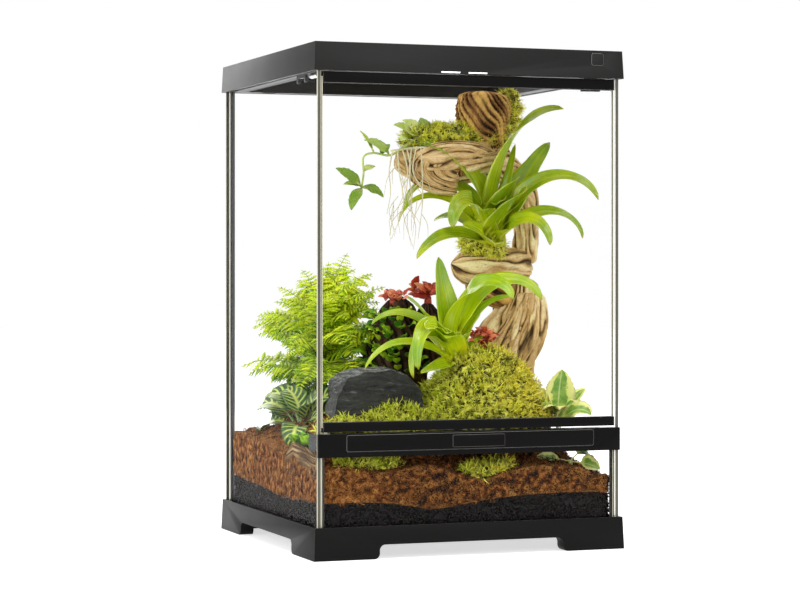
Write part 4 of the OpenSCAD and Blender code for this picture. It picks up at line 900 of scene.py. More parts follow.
def slate_finish():
    f = Finish("split_slate")
    spot = f.place((1, 1, 1.5), (0.1, 0.25, 0.0))
    broad, fine = f.grain(spot, 24, 6, 0.6), f.grain(f.place((0.5, 0.5, 2.4), (0.0, 0.3, 0)), 190, 8, 0.72,
                                        0.8)
    up = f.add("ShaderNodeSeparateXYZ", {0: f.add("ShaderNodeNewGeometry").outputs["Normal"]}).outputs[2]
    tone = f.mix(f.ramp(broad, (0.35, 0.0), (0.65, 1.0)), (0.005, 0.006, 0.0045), (0.034, 0.036, 0.030))
    tone = f.mix(f.ramp(fine, (0.5, 0.0), (0.72, 0.55)), tone, (0.12, 0.125, 0.105))
    # Paler grey flecks on faces that point upwards.
    pale_on_top = f.math("MULTIPLY", f.ramp(up, (0.35, 0.0), (0.9, 0.55)), f.ramp(fine, (0.46, 0.0), (0.6, 1.0)))
    f.set(Base_Color=f.mix(pale_on_top, tone, (0.55, 0.56, 0.55)), Roughness=0.5)
    f.bump(fine, 1.0, 0.0026)
    return f.mat

def slate():
    outline = [(-118, 126, 132), (-114, 148, 164), (-104, 166, 171), (-84, 172, 176), (-58, 174, 177),
               (-38, 166, 170), (-26, 150, 154), (-24, 124, 130)]
    b = bmesh.new()
    for x, front, back in outline:
        for q in ((x, -94, front), (x + 2, -60, back), (x * 0.97 - 2, -90, front - 2)):
            b.verts.new(Vector(q) * MM)
    bmesh.ops.convex_hull(b, input=b.verts)
    me = bpy.data.meshes.new("slate")
    b.to_mesh(me)
    b.free()
    raw = bpy.data.objects.new("slate", me)
    scene.collection.objects.link(raw)
    rock = finish_copy(raw, [("REMESH", dict(mode="VOXEL", voxel_size=0.0011))], "slate_rock_split",
                       slate_finish())
    co = np.zeros(len(rock.data.vertices) * 3)
    rock.data.vertices.foreach_get("co", co)
    co, nor = co.reshape(-1, 3) / MM, np.array([v.normal for v in rock.data.vertices])
    tilt = co @ np.array([0.12, 0.1, 1.0])
    layer = np.array([noise.noise(Vector((0.3, c[0] / 60, t / 3.2))) for c, t in zip(co, tilt)])
    chip = rough(co, 20, 1.0) * 1.8 + rough(co, 6, 5.0) * 0.8
    co += nor * (1.5 * layer * (1 - abs(nor[:, 2])) + chip - 0.9)[:, None]
    rock.data.vertices.foreach_set("co", (co * MM).ravel())
    rock.data.set_sharp_from_angle(angle=math.radians(60))
    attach(rock, "cabinet")
    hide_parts("slate_rock")
    print("slate has", len(rock.data.polygons), "faces")

slate()

# %% [markdown]
# ## Moss
# Moss looks soft because it is thousands of branched sprigs with light tips and a shaded base.
# So each cushion is a lumpy body in a near-black finish of painted shade, and the scatter tree
# covers it with small sprigs. Every strand keeps how far along it a point lies, and the finish
# paints shade towards the base, which leaves the tips light.

# %% Moss finish and sprigs
def moss_finish(name, left, right, deep, dry=0.35):
    f = Finish(name)
    spot = f.place()
    tip = f.attribute("tone")
    side = f.math("MULTIPLY_ADD", f.add("ShaderNodeSeparateXYZ", {0: spot}).outputs[0], 7.0, 0.25)
    patch = f.grain(spot, 70, 4, 0.6)
    colour = f.mix(f.ramp(f.math("ADD", side, f.math("MULTIPLY_ADD", patch, 1.6, -0.8)), (0.2, 0.0),
                          (0.8, 1.0)), left, right)
    brown = f.ramp(f.grain(f.place((1, 1, 1), (0.4, 0.2, 0.9)), 95, 3, 0.55), (0.5, 0.0), (0.66, dry))
    colour = f.mix(brown, colour, (0.42, 0.17, 0.045))
    # Painted shade: near black towards the base of each sprig, and in patches between the tufts.
    colour = f.mix(f.ramp(tip, (0.1, 1.0), (0.62, 0.0)), colour, deep)
    colour = f.mix(f.ramp(f.grain(spot, 75, 3, 0.6), (0.42, 0.85), (0.53, 0.0)), colour, deep)
    # Painted highlight: bright yellow flecks over the moss.
    colour = f.mix(f.ramp(f.grain(spot, 200, 2, 0.5), (0.44, 0.0), (0.60, 0.85)), colour, (0.98, 0.96, 0.14))
    f.set(Base_Color=colour, Roughness=0.6, Specular_IOR_Level=0.25)
    f.bump(f.grain(spot, 700, 3), 0.4, 0.0006)
    return f.mat

# The near-black green of the painted shade in the moss.
MOSS_PAINTED_SHADE = (0.030, 0.034, 0.003)
moss_green = moss_finish("moss", (0.56, 0.70, 0.012), (0.92, 0.74, 0.04), MOSS_PAINTED_SHADE)
moss_gold = moss_finish("moss_on_wood", (0.86, 0.90, 0.03), (0.92, 0.84, 0.05), MOSS_PAINTED_SHADE, 0.2)
LEDGE, BAR_REST = 115.3, 115.9

def moss_pad(p, n=48, rings=26):
    """The top and underside of one cushion, as rings of points round its middle."""
    a = np.arange(n) / n * 2 * math.pi
    r = (np.arange(rings) / (rings - 1)) ** 0.85
    x, y = p[0] + p[2] * r[:, None] * np.cos(a), p[1] + p[3] * r[:, None] * np.sin(a)
    soil = ground(x, y)
    low = np.where(y < 17 - LEDGE, np.maximum(soil - 0.6, BAR_REST), soil - 0.6) if len(p) > 4 else soil - 0.6
    if len(p) > 4:
        top = np.maximum(low + 1.5, p[4] - (p[4] - p[5]) * r[:, None] ** 2)
    else:
        top = soil + 7.2 * (1 - 0.85 * r[:, None] ** 3)
    flat = np.stack([x, y, top], -1)
    lump = (0.6 * rough(flat.reshape(-1, 3), 12, 2.0) + rough(flat.reshape(-1, 3), 30, 7.0)).reshape(x.shape)
    top = np.maximum(low + 0.6, top - 2.6 + (4.2 if len(p) > 4 else 1.0) * lump * (1 - r[:, None] ** 6))
    return np.stack([x, y, top], -1), np.stack([x, y, low], -1)

def disc_faces(n, rings, base):
    i, j = np.meshgrid(np.arange(rings - 1), np.arange(n), indexing="ij")
    a, b = i * n + j, i * n + (j + 1) % n
    return (np.stack([a, a + n, b + n, b], -1).reshape(-1, 4) + base).tolist()

def cushions(name, pads, finish, node, density, seed):
    heap = Heap()
    tops, count, faces = [], 0, []
    for p in pads:
        top, low = moss_pad(p)
        rings, n = top.shape[:2]
        loop = np.concatenate([top, low[::-1]])
        # The body takes the lowest tone, so it is all painted shade under the sprigs.
        heap.loft(loop, np.zeros(loop.shape[:2] + (2,)), 0.05)
        tops.append(top.reshape(-1, 3) - [0, 0, 0.6])
        faces += disc_faces(n, rings, count)
        count += rings * n
    heap.build(name + "_body", finish, "moss", [node])
    cover = helper("cover", np.concatenate(tops), faces)
    scatter(cover, sprig, density, 0.7, 1.7, 0.8, seed, finish, name, [node])
    discard(cover)

cushions("moss_mound", [(42, -80, 68, 56, 193, 126)], moss_green, "ground_moss", 62000, 11)
cushions("moss_by_the_rock", [(-50, -91, 46, 31, 138, 119), (-120, -130, 27, 12, 129, 118),
                              (-96, -134, 36, 10),
                              (22, -134, 28, 10)], moss_green, "ground_moss", 85000, 12)

# %% Moss on the wood
def wood_cushions():
    heap = Heap()
    for k, path in enumerate(([(84, -36, 396, 5), (66, -40, 401, 8), (42, -40, 404, 9), (16, -40, 402, 10),
                               (-8, -39, 400, 10),
                               (-28, -38, 396, 7)],
                              [(80, -38, 447, 6), (87, -38, 436, 9), (86, -38, 420, 9), (78, -38, 406, 6)],
                              [(30, -50, 292, 6), (45, -56, 297, 9), (61, -60, 293, 8), (73, -57, 290, 5)])):
        limb(heap, path, 1.6, 36, seed=50 + k, spacing=8, fine=0.8)
    # Every body point takes the lowest tone, the painted shade under the sprigs.
    heap.tone = [t * 0 + 0.05 for t in heap.tone]
    body = heap.build("wood_moss_body", moss_gold, "moss", ["wood_moss"])
    scatter(body, sprig, 120000, 0.6, 1.2, 0.8, 14, moss_gold, "wood_moss_sprigs", ["wood_moss"])

wood_cushions()

# %% [markdown]
# ## Leaves
# A bromeliad leaf is a strap that is folded at its base and arches under its own weight. Each
# one is a loft along a curved middle line, with a cup that flattens towards the tip. Its UV
# map runs across and along the leaf, and the finish uses it for veins, edges and tips.

# %% Strap leaves
def strap(t):
    return np.sqrt(np.maximum(1 - t ** 3.2, 0.002)) * (0.7 + 0.3 * np.sin(np.pi * np.minimum(t * 1.3, 1)))

def oval(t):
    q = np.clip((t - 0.36) / 0.64, 0, 1)
    return np.where(t < 0.36, 0.07, np.maximum(0.03, np.sin(np.pi * q ** 0.75) ** 0.6))

def strap_finish(name, cup, body, far, tip, edge, gloss=0.25):
    f = Finish(name)
    uv = f.add("ShaderNodeTexCoord").outputs["UV"]
    parts = f.add("ShaderNodeSeparateXYZ", {0: uv}).outputs
    across, along, tone = parts[0], parts[1], f.attribute("tone")
    line = f.add("ShaderNodeMapping", {"Vector": uv, "Scale": (30.0, 0.6, 1.0)}).outputs[0]
    streak, patch = f.grain(line, 1.0, 4, 0.6), f.grain(f.place(), 30, 4, 0.6)
    colour = f.ramp(along, (0.02, cup), (0.28, body), (0.8, far), (0.96, far), (1.0, tip))
    colour = f.mix(f.math("MULTIPLY", tone, 0.55), colour, (far[0] * 0.45, far[1] * 0.62, far[2] * 0.6))
    colour = f.mix(f.ramp(patch, (0.35, 0.0), (0.7, 0.4)), colour, cup)
    colour = f.mix(f.ramp(streak, (0.42, 0.0), (0.75, 0.22)), colour, edge)
    side = f.math("ABSOLUTE", f.math("SUBTRACT", across, 0.5))
    # Painted highlight: a pale band along both edges of the leaf.
    colour = f.mix(f.ramp(side, (0.44, 0.0), (0.5, 0.8)), colour, edge)
    colour = f.mix(f.ramp(side, (0.0, 0.35), (0.05, 0.0)), colour, edge)
    f.set(Base_Color=colour, Roughness=f.math("MULTIPLY_ADD", streak, 0.16, gloss - 0.05),
          Specular_IOR_Level=0.6,
          Subsurface_Weight=0.25, Subsurface_Radius=(0.5, 1.0, 0.15), Subsurface_Scale=0.002)
    f.bump(streak, 0.25, 0.0004)
    return f.mat

bromeliad_leaf = strap_finish("bromeliad_leaf", (0.86, 0.84, 0.004), (0.46, 0.58, 0.004), (0.14, 0.29, 0.006),
                              (0.40, 0.20, 0.04), (0.72, 0.74, 0.02))
young_leaf = strap_finish("young_bromeliad_leaf", (0.88, 0.86, 0.004), (0.48, 0.64, 0.004),
                          (0.19, 0.40, 0.005),
                          (0.38, 0.30, 0.03), (0.78, 0.84, 0.03))

def rosette(name, root, leaves, cups, finish, node, seed):
    heap = Heap()
    dice = np.random.default_rng(seed)
    for heading, length, rise, bend, width in leaves:
        t = np.linspace(0, 1, 31)
        line = arch(root, heading, length, rise, bend, 30)
        line[:, 2] += 0.4
        cup = profile(t, [(0, 1.0), (0.2, 0.75), (0.55, 0.35), (1, 0.2)])
        blade(heap, line, heading, width * 1.18 * strap(t), cup, 0.9, 11, dice.random(), 0.05, 2.0,
              dice.normal() * 0.12, 0.6)
    for k in range(cups):
        t = np.linspace(0, 1, 15)
        heading = 360 / cups * k + 20
        line = arch(root, heading, 34 + 8 * dice.random(), 74, 30, 14)
        blade(heap, line, heading, 26 * strap(t), 1.1 - 0.5 * t, 0.9, 9, 0.0, face=0.25)
    tube(heap, [(root[0], root[1], root[2] - 8, 4), (root[0], root[1], root[2], 5),
                (root[0], root[1], root[2] + 9, 3)],
         12, 3, 0.2)
    heap.build(name, finish, "bright_leaf", [node])

# Each row is a leaf: heading, length, rise, bend and width. A separate program fitted the first
# four values of all rows but the last two of each table to points read off the photograph.
UPPER_LEAVES = [(173, 144, 83, 92, 25), (162, 141, 75, 170, 16), (167, 128, 60, 142, 11),
                (219, 114, 62, 158, 27),
                (215, 138, 15, 60, 18), (298, 184, 88, 98, 21), (331, 105, 76, -4, 16), (351, 121, 66, 16,
                                        29),
                (324, 153, 67, 138, 18), (340, 116, 48, 133, 15), (293, 101, 43, 131, 19), (286, 84, 73, 45,
                                        31),
                (270, 62, 82, 80, 35), (291, 78, 63, 42, 27), (232, 99, 18, 20, 25), (80, 78, 40, 80,
                                        16), (125, 82, 48, 80, 16)]
LOWER_LEAVES = [(150, 105, 80, -3, 26), (204, 93, 54, 27, 21), (179, 111, 59, 108, 12),
                (225, 132, 50, 174, 20),
                (229, 92, 42, 55, 29), (299, 138, 90, 160, 23), (339, 148, 84, 156, 21), (329, 93, 75, 77,
                                        13),
                (349, 56, 76, 40, 15), (220, 68, -4, 6, 14), (203, 131, 26, 83, 10), (220, 122, 42, 165, 13),
                (342, 42, 51, 24, 9), (60, 70, 50, 70, 17), (105, 76, 46, 70, 17)]
rosette("upper_bromeliad_leaves", (59, -60, 291), UPPER_LEAVES, 6, bromeliad_leaf, "upper_bromeliad", 4)
rosette("lower_bromeliad_leaves", (14, -75, 178), LOWER_LEAVES, 6, young_leaf, "lower_bromeliad", 9)

# %% [markdown]
# ### Fern
# A fern frond is a stem with two rows of leaflets, and each leaflet is cut into lobes again.
# The lobes come from a loft whose width goes up and down along the leaflet, which keeps each
# leaflet to a few dozen faces although there are well over a thousand of them.

# %% Fern
def leaf_finish(name, dark, body, light, stalk, gloss=0.45, scale=60):
    f = Finish(name)
    uv = f.add("ShaderNodeSeparateXYZ", {0: f.add("ShaderNodeTexCoord").outputs["UV"]}).outputs
    patch, fine = f.grain(f.place(), scale, 4, 0.6), f.grain(f.place(), scale * 9, 3)
    colour = f.mix(f.ramp(patch, (0.36, 0.0), (0.64, 1.0)), body, light)
    colour = f.mix(f.ramp(f.attribute("tone"), (0.25, 1.0), (0.75, 0.0)), colour, dark)
    colour = f.mix(f.ramp(uv[1], (0.1, 1.0), (0.3, 0.0)), colour, f.mix(0.6, colour, stalk))
    f.set(Base_Color=colour, Roughness=f.math("MULTIPLY_ADD", fine, 0.2, gloss - 0.1), Specular_IOR_Level=0.4,
          Subsurface_Weight=0.2, Subsurface_Radius=(0.5, 1.0, 0.15), Subsurface_Scale=0.001)
    f.bump(fine, 0.35, 0.0004)
    return f.mat

fern_leaf = leaf_finish("fern_leaf", (0.13, 0.33, 0.004), (0.52, 0.72, 0.006), (0.80, 0.90, 0.02),
                        (0.3, 0.34, 0.02))

def leaflet(heap, root, axis, side, up, length, width, lobes, tone, droop=0.15, thick=0.35):
    """A lobed leaflet: its width swings between full and narrow from ring to ring."""
    m = 2 * lobes + 2
    t = np.linspace(0, 1, m)
    shape = np.sin(np.pi * np.clip(t * 0.93 + 0.05, 0, 1) ** 0.65) ** 0.8
    swing = np.where(np.arange(m) % 2 == 0, 0.42, 1.0)
    w = np.maximum(width * shape * swing / 2, 0.12)
    mid = root + np.outer(t * length, axis) - np.outer(droop * length * t ** 2, [0, 0, 1])
    sweep = np.where(np.arange(m) % 2 == 0, 0.0, 0.35)[:, None] * w[:, None] * axis
    rings = np.stack([mid + w[:, None] * side + sweep, mid + thick * up, mid - w[:, None] * side + sweep,
                      mid - thick * up], 1)
    heap.loft(rings, np.stack(np.broadcast_arrays(np.array([0, .5, 1, .5])[None], t[:, None]), -1), tone)

def frond(heap, root, heading, length, rise, bend, pairs, dice, tone, spread=0.2, face=0.45):
    line = arch(root, heading, length, rise, bend, 40, dice.normal() * 8)
    tube(heap, np.concatenate([line[::5], np.linspace(0.9, 0.25, 9)[:, None]], 1), 4, 1, tone * 0.5)
    d = np.gradient(line, axis=0)
    d /= np.linalg.norm(d, axis=1, keepdims=True)
    h = math.radians(heading)
    side0 = np.tile(np.array([-math.sin(h), math.cos(h), 0.0]), (len(line), 1))
    side, up = turned(d, side0, np.cross(d, side0), np.full((len(line), 1), face))
    for k in range(pairs):
        t = (k + 1.4) / (pairs + 1.4)
        i = min(int(t * 40), 39)
        at, fwd = line[i] * (1 - (t * 40 - i)) + line[i + 1] * (t * 40 - i), d[i]
        reach = length * spread * math.sin(math.pi * min(t ** 0.75, 0.985)) + 1.5
        for s in (-1, 1):
            axis = unit(side[i] * s + 0.4 * fwd + dice.normal(0, 0.14, 3))
            top = unit(up[i] + dice.normal(0, 0.35, 3))
            flat = unit(np.cross(top, axis))
            leaflet(heap, at, axis, flat, top, reach, max(3.0, reach * 0.40), 4,
                    np.clip(tone + 0.35 * (t - 0.4) + dice.normal() * 0.14, 0, 1), 0.1 + 0.2 * dice.random())

FERN_ROOT = np.array((-82.0, 46.0, 136.0))
FERN_FRONDS = [(62, 20, 70, 72, 60), (62, 95, 88, 74, 50), (62, 140, 80, 66, 60), (60, 250, 84, 62, 90),
               (60, 310, 80, 66, 80),
               (64, 60, 84, 80, 30), (46, 0, 74, 48, 70), (46, 60, 100, 46, 60), (46, 112, 114, 40,
                                        60), (46, 128, 104, 42, 60),
               (44, 215, 66, 44, 90), (44, 260, 94, 40, 90), (44, 315, 84, 44, 90), (28, 20, 72, 22,
                                        50), (28, 95, 100, 20, 50),
               (28, 125, 108, 18, 45), (28, 245, 88, 18, 60), (28, 285, 92, 16, 60), (12, 115, 96, 4,
                                        30), (12, 335, 64, 4, 30),
               (66, 8, 92, 66, 60), (60, 350, 88, 58, 50), (66, 30, 98, 78, 45), (62, 335, 88, 74, 60)]

def fern():
    dice = np.random.default_rng(21)
    rows = [(*row, 0.0) for row in FERN_FRONDS]
    # Three more rings of copies: drop shortens them and, as painted shade, darkens them.
    for turn, drop in ((11, 0.10), (-13, 0.17), (24, 0.22)):
        rows += [(h + 7 * dice.normal(), a + turn + 4 * dice.normal(), w * (1 - drop),
                  e + 6 * dice.normal(), b + 10, drop)
                 for h, a, w, e, b in FERN_FRONDS]
    for part, name in enumerate(("fern_fronds_outer", "fern_fronds_inner")):
        heap = Heap()
        for lift, heading, length, rise, bend, drop in rows[part::2]:
            wall = 60 / max(-math.cos(math.radians(heading)), 0.1)
            # Painted shade and light: lower fronds and the inner copies get a darker tone, higher fronds a
            # lighter one.
            frond(heap, FERN_ROOT + [0, 0, np.clip(lift, 2, 66)], heading, min(length, wall), rise, bend,
                  18, dice,
                  np.clip(0.35 + 0.008 * lift + 0.1 * dice.normal() - drop, 0, 1), 0.22)
        if not part:
            tube(heap, [(*(FERN_ROOT + [0, 0, z]), q) for z, q in ((-8, 5), (24, 4), (68, 2.5))], 9, 4, 0.2)
        heap.build(name, fern_leaf, "fern_leaf", ["fern"])

fern()

# %% [markdown]
# ### Patterned leaves
# The plant at the left pane has dark leaves with pale veins, and the one at the right has
# cream margins. Both patterns follow the leaf, so they are drawn from its UV map: the first
# value runs across the leaf and the second along it.

# %% Veined and variegated leaves
def veined_finish():
    f = Finish("veined_leaf")
    uv = f.add("ShaderNodeSeparateXYZ", {0: f.add("ShaderNodeTexCoord").outputs["UV"]}).outputs
    out = f.math("MULTIPLY", f.math("ABSOLUTE", f.math("SUBTRACT", uv[0], 0.5)), 2.0)
    wobble = f.grain(f.place(), 55, 3, 0.6)
    phase = f.math("ADD", f.math("MULTIPLY_ADD", uv[1], 11.0, f.math("MULTIPLY", out, -1.7)),
                   f.math("MULTIPLY", wobble, 0.5))
    vein = f.math("ABSOLUTE", f.math("SUBTRACT", f.math("FRACT", phase), 0.5))
    lines = f.math("MULTIPLY", f.ramp(vein, (0.24, 0.0), (0.42, 1.0)), f.ramp(out, (0.6, 1.0), (0.98, 0.15)))
    lines = f.math("MAXIMUM", lines, f.ramp(out, (0.05, 1.0), (0.2, 0.0)))
    dark = f.mix(f.ramp(wobble, (0.35, 0.0), (0.65, 1.0)), (0.022, 0.085, 0.018), (0.06, 0.17, 0.03))
    colour = f.mix(lines, dark, f.mix(wobble, (0.56, 0.70, 0.09), (0.82, 0.86, 0.30)))
    colour = f.mix(f.ramp(uv[1], (0.36, 1.0), (0.42, 0.0)), colour, (0.26, 0.045, 0.045))
    f.set(Base_Color=colour, Roughness=0.32, Specular_IOR_Level=0.5)
    f.bump(lines, 0.5, 0.0012)
    return f.mat

def variegated_finish():
    f = Finish("variegated_leaf")
    uv = f.add("ShaderNodeSeparateXYZ", {0: f.add("ShaderNodeTexCoord").outputs["UV"]}).outputs
    out = f.math("MULTIPLY", f.math("ABSOLUTE", f.math("SUBTRACT", uv[0], 0.5)), 2.0)
    ragged = f.grain(f.place(), 90, 5, 0.65)
    inner = f.ramp(f.math("ADD", out, f.math("MULTIPLY_ADD", ragged, 1.1, -0.55)), (0.46, 1.0), (0.54, 0.0))
    inner = f.math("MULTIPLY", inner, f.ramp(uv[1], (0.42, 0.0), (0.5, 1.0)))
    green = f.mix(f.ramp(ragged, (0.4, 0.0), (0.6, 1.0)), (0.16, 0.34, 0.04), (0.38, 0.54, 0.10))
    colour = f.mix(inner, f.mix(out, (0.72, 0.78, 0.16), (0.88, 0.86, 0.34)), green)
    colour = f.mix(f.ramp(out, (0.0, 0.8), (0.07, 0.0)), colour, (0.78, 0.82, 0.4))
    f.set(Base_Color=colour, Roughness=0.4, Specular_IOR_Level=0.4, Subsurface_Weight=0.15,
          Subsurface_Radius=(0.6, 1.0, 0.3), Subsurface_Scale=0.001)
    f.bump(ragged, 0.3, 0.0006)
    return f.mat

veined_leaf, variegated_leaf = veined_finish(), variegated_finish()
vine_leaf = leaf_finish("vine_leaf", (0.20, 0.33, 0.03), (0.46, 0.58, 0.08), (0.70, 0.76, 0.26),
                        (0.4, 0.42, 0.15))
small_leaf = leaf_finish("small_green_leaf", (0.05, 0.18, 0.006), (0.24, 0.50, 0.012), (0.56, 0.74, 0.03),
                         (0.2, 0.3, 0.03))
red_leaf = leaf_finish("coral_leaf", (0.42, 0.04, 0.02), (0.84, 0.16, 0.06), (0.90, 0.45, 0.24),
                       (0.5, 0.1, 0.05), scale=130)

def oval_leaf(heap, root, heading, length, rise, bend, width, tone, n=26, teeth=0.0, cup=0.3, stalk=True,
              wave=0.06, face=0.5):
    t = np.linspace(0, 1, n + 1)
    form = oval(t) if stalk else np.maximum(np.sin(np.pi * np.clip(t, 0, 1) ** 0.75) ** 0.75, 0.05)
    if teeth:
        form = form * (1 + teeth * np.where(np.arange(n + 1) % 2 == 0, -1, 1) * (t > 0.45))
    line = arch(root, heading, length, rise, bend, n)
    blade(heap, line, heading, width * form, np.full(n + 1, cup), 0.7 if stalk else 0.5, 11, tone, wave,
          2.0, face=face)

def foliage(root, leaves, seed, stalks, **shape):
    """A heap of oval leaves on stalks that all leave one root."""
    heap = Heap()
    dice = np.random.default_rng(seed)
    for heading, length, rise, bend, width in leaves:
        oval_leaf(heap, root, heading, length, rise, bend, width, dice.random(), **shape)
        line = arch(root, heading, length * 0.42, rise, bend * 0.16, 6)
        tube(heap, np.concatenate([line, np.linspace(stalks, stalks * 0.5, 7)[:, None]], 1), 7, 1, 0.5)
    return heap

# The rows of FOLIAGE and VARIEGATED and the three leaves under the bar also started from values
# that a separate program fitted. Only the widths and some single values were chosen one by one.
FOLIAGE = [(110, 84, 44, 84, 32), (118, 70, 73, 110, 30), (90, 65, 66, 51, 32), (98, 76, 58, 165, 28),
           (104, 90, 22, 81, 32),
           (240, 58, 33, 160, 27), (300, 45, 82, 64, 28), (330, 62, 71, 67, 30), (320, 56, 66, 134,
                                        28), (290, 46, 60, 150, 24),
           (60, 67, 37, -20, 28), (100, 80, 34, 60, 30), (108, 60, 84, 90, 28)]
heap = foliage((-115, 12, 106), FOLIAGE, 5, stalks=1.9, cup=0.3)
tube(heap, [(-115, 12, 96, 4), (-115, 12, 102, 3.8), (-115, 12, 109, 3.2)], 10, 3)
heap.build("veined_foliage", veined_leaf, "dark_leaf", ["left_foliage"])

VARIEGATED = [(98, 67, 92, -18, 31), (8, 58, 69, 43, 17), (331, 50, 74, 130, 26), (212, 60, 90, 165, 32),
              (170, 53, 86, 21, 26),
              (300, 43, 83, 72, 19)]
heap = foliage((112, -100, 106), VARIEGATED, 6, stalks=0.9, cup=0.3, teeth=0.05)
for k in ((346, 30, -8, 20, 23), (20, 34, 40, 120, 18), (170, 34, 12, 14, 14)):
    oval_leaf(heap, (112, -132, 84), *k, 0.5, cup=0.3, teeth=0.05)
tube(heap, [(112, -100, 84, 2.5), (112, -100, 96, 2.2), (112, -100, 108, 2)], 8, 3)
tube(heap, [(112, -132, 76, 2), (112, -132, 80, 2), (112, -132, 85, 2)], 8, 3)
heap.build("variegated_leaves", variegated_leaf, "pale_leaf", ["variegated_plant"])

# %% Vine, roots, creeping leaves and red rosettes
def vine():
    heap = Heap()
    dice = np.random.default_rng(31)
    tube(heap, [(10, -42, 402, 2), (-14, -46, 400, 1.8), (-30, -48, 390, 1.4), (-44, -48, 382, 1.2),
                (-60, -46, 384, 1.1),
                (-70, -44, 380, 1.0), (-70, -44, 364, 1.0), (-72, -44, 350, 0.9)], 7, 5, 0.6)
    table = [((-8, -46, 400), 150, 28, 50, 30, 17), ((0, -44, 402), 20, 26, 40, 20, 15),
             ((-14, -46, 400), 190, 30, 30, 20, 17),
             ((-44, -48, 382), 170, 30, 40, 30, 16), ((-60, -46, 384), 180, 26, 60, 10,
                                        10), ((-72, -44, 350), 170, 32, 40, 10, 19),
             ((-72, -44, 350), 350, 24, -10, 40, 15), ((-72, -44, 350), 200, 26, -50, 30,
                                        13), ((-71, -44, 352), 180, 20, 10, 20, 10),
             ((-4, -46, 401), 100, 24, 62, 20, 14), ((6, -44, 403), 60, 22, 55, 30, 13), ((-20, -47, 397),
                                        220, 24, 10, 40, 14),
             ((-70, -44, 366), 20, 16, 30, 30, 9), ((-52, -47, 383), 30, 16, 50, 30, 9)]
    for p, *k in table:
        oval_leaf(heap, p, *k, dice.random(), n=14, cup=0.35, stalk=False, teeth=0.05)
    heap.build("vine_leaves", vine_leaf, "pale_leaf", ["climbing_vine"])

def root_finish():
    f = Finish("aerial_root")
    n = f.grain(f.place((1, 1, 3)), 160, 5)
    f.set(Base_Color=f.mix(n, (0.50, 0.42, 0.20), (0.86, 0.83, 0.56)), Roughness=0.6)
    f.bump(n, 0.3, 0.0005)
    return f.mat

def hanging_roots():
    heap = Heap()
    dice = np.random.default_rng(12)
    for i in range(7):
        x, low = -14 - 5 * i, 300 + 8 * ((i * 3) % 5)
        tube(heap, [(x, -54 - 0.35 * i, 391 - 0.65 * i, 0.95),
                    (x - 5 * math.sin(math.radians(70 * i)), -58, 366, 0.7),
                    (x + 6 * math.sin(math.radians(95 * i)), -58, (366 + low) / 2, 0.5),
                    (x - 4 + 3 * math.sin(math.radians(50 * i)), -57, low, 0.3)], 6, 6, 0.5)
        for _ in range(4):
            z = 378 - dice.random() * 60
            drift, reach = dice.normal(0, 6, 2), 14 + dice.random() * 24
            tube(heap, [(x, -57.5, z, 0.36), (x + drift[0], -57, z - reach * 0.4, 0.3),
                        (x + drift[0] + drift[1], -57.5, z - reach, 0.14)], 4, 5, 0.5)
    tube(heap, [(12, -54, 389, 1), (-14, -54, 390, 1), (-46, -56, 386, 1)], 6, 6, 0.5)
    heap.build("hanging_roots", root_finish(), "root", ["aerial_roots"])

def creeping_leaves():
    heap = Heap()
    dice = np.random.default_rng(8)
    for i in range(5):
        p = np.array((-136, -46 - 12 * i, 99.0))
        tube(heap, [(*p, 3.2), (p[0], p[1], p[2] + 4, 2.6)], 7, 1, 0.1)
        for k in range(17):
            q = p + [dice.normal() * 2.6, dice.normal() * 4.5, 2 + dice.random() * 3]
            oval_leaf(heap, q, dice.random() * 360, 9 + 4 * dice.random(), 40 + 35 * dice.random(), 50, 7.5,
                      dice.random(), n=6,
                      stalk=False)
    for k in range(150):
        turn, z = math.radians(150 + 200 * dice.random()), 160 + 66 * dice.random()
        r = np.interp(z, [138, 190, 214, 232], [34, 30, 25, 17])
        q = (-18 + r * math.cos(turn), 7 + r * math.sin(turn), z)
        oval_leaf(heap, q, math.degrees(turn), 10 + 7 * dice.random(), 20 + 45 * dice.random(), 60, 8,
                  dice.random(), n=6, stalk=False)
    heap.build("creeping_leaves", small_leaf, "bright_leaf", ["creeping_greens"])

def coral_rosettes():
    heap = Heap()
    dice = np.random.default_rng(17)
    for s, size in (((10, -10, 240), 1.15), ((-24, -2, 238), 0.8), ((43, -76, 197), 1.0)):
        tube(heap, [(s[0], s[1], s[2] - 4, 4), (s[0], s[1], s[2] + 3, 3.4)], 8, 1, 0.1)
        for k in range(34):
            q = np.array(s) + [dice.normal() * 5 * size, dice.normal() * 4 * size, dice.random() * 9 * size]
            oval_leaf(heap, q, k * 137.5, (11 + 5 * dice.random()) * size, 70 - 1.8 * k, 40, 8 * size,
                      dice.random(), n=6, stalk=False,
                      teeth=0.1)
    heap.build("coral_rosettes", red_leaf, "red_leaf", ["red_plants"])

vine()
hanging_roots()
creeping_leaves()
coral_rosettes()
discard(sprig, pebble, fibres_flat, fibres_loose)

# %% [markdown]
# ## Screen
# The solid model keeps the wire mesh as a few straight wires, so that it stays light. Here
# Geometry Nodes lay the real fine mesh: one line of thin wires each way, made from a pitch,
# a wire size and the two lengths.

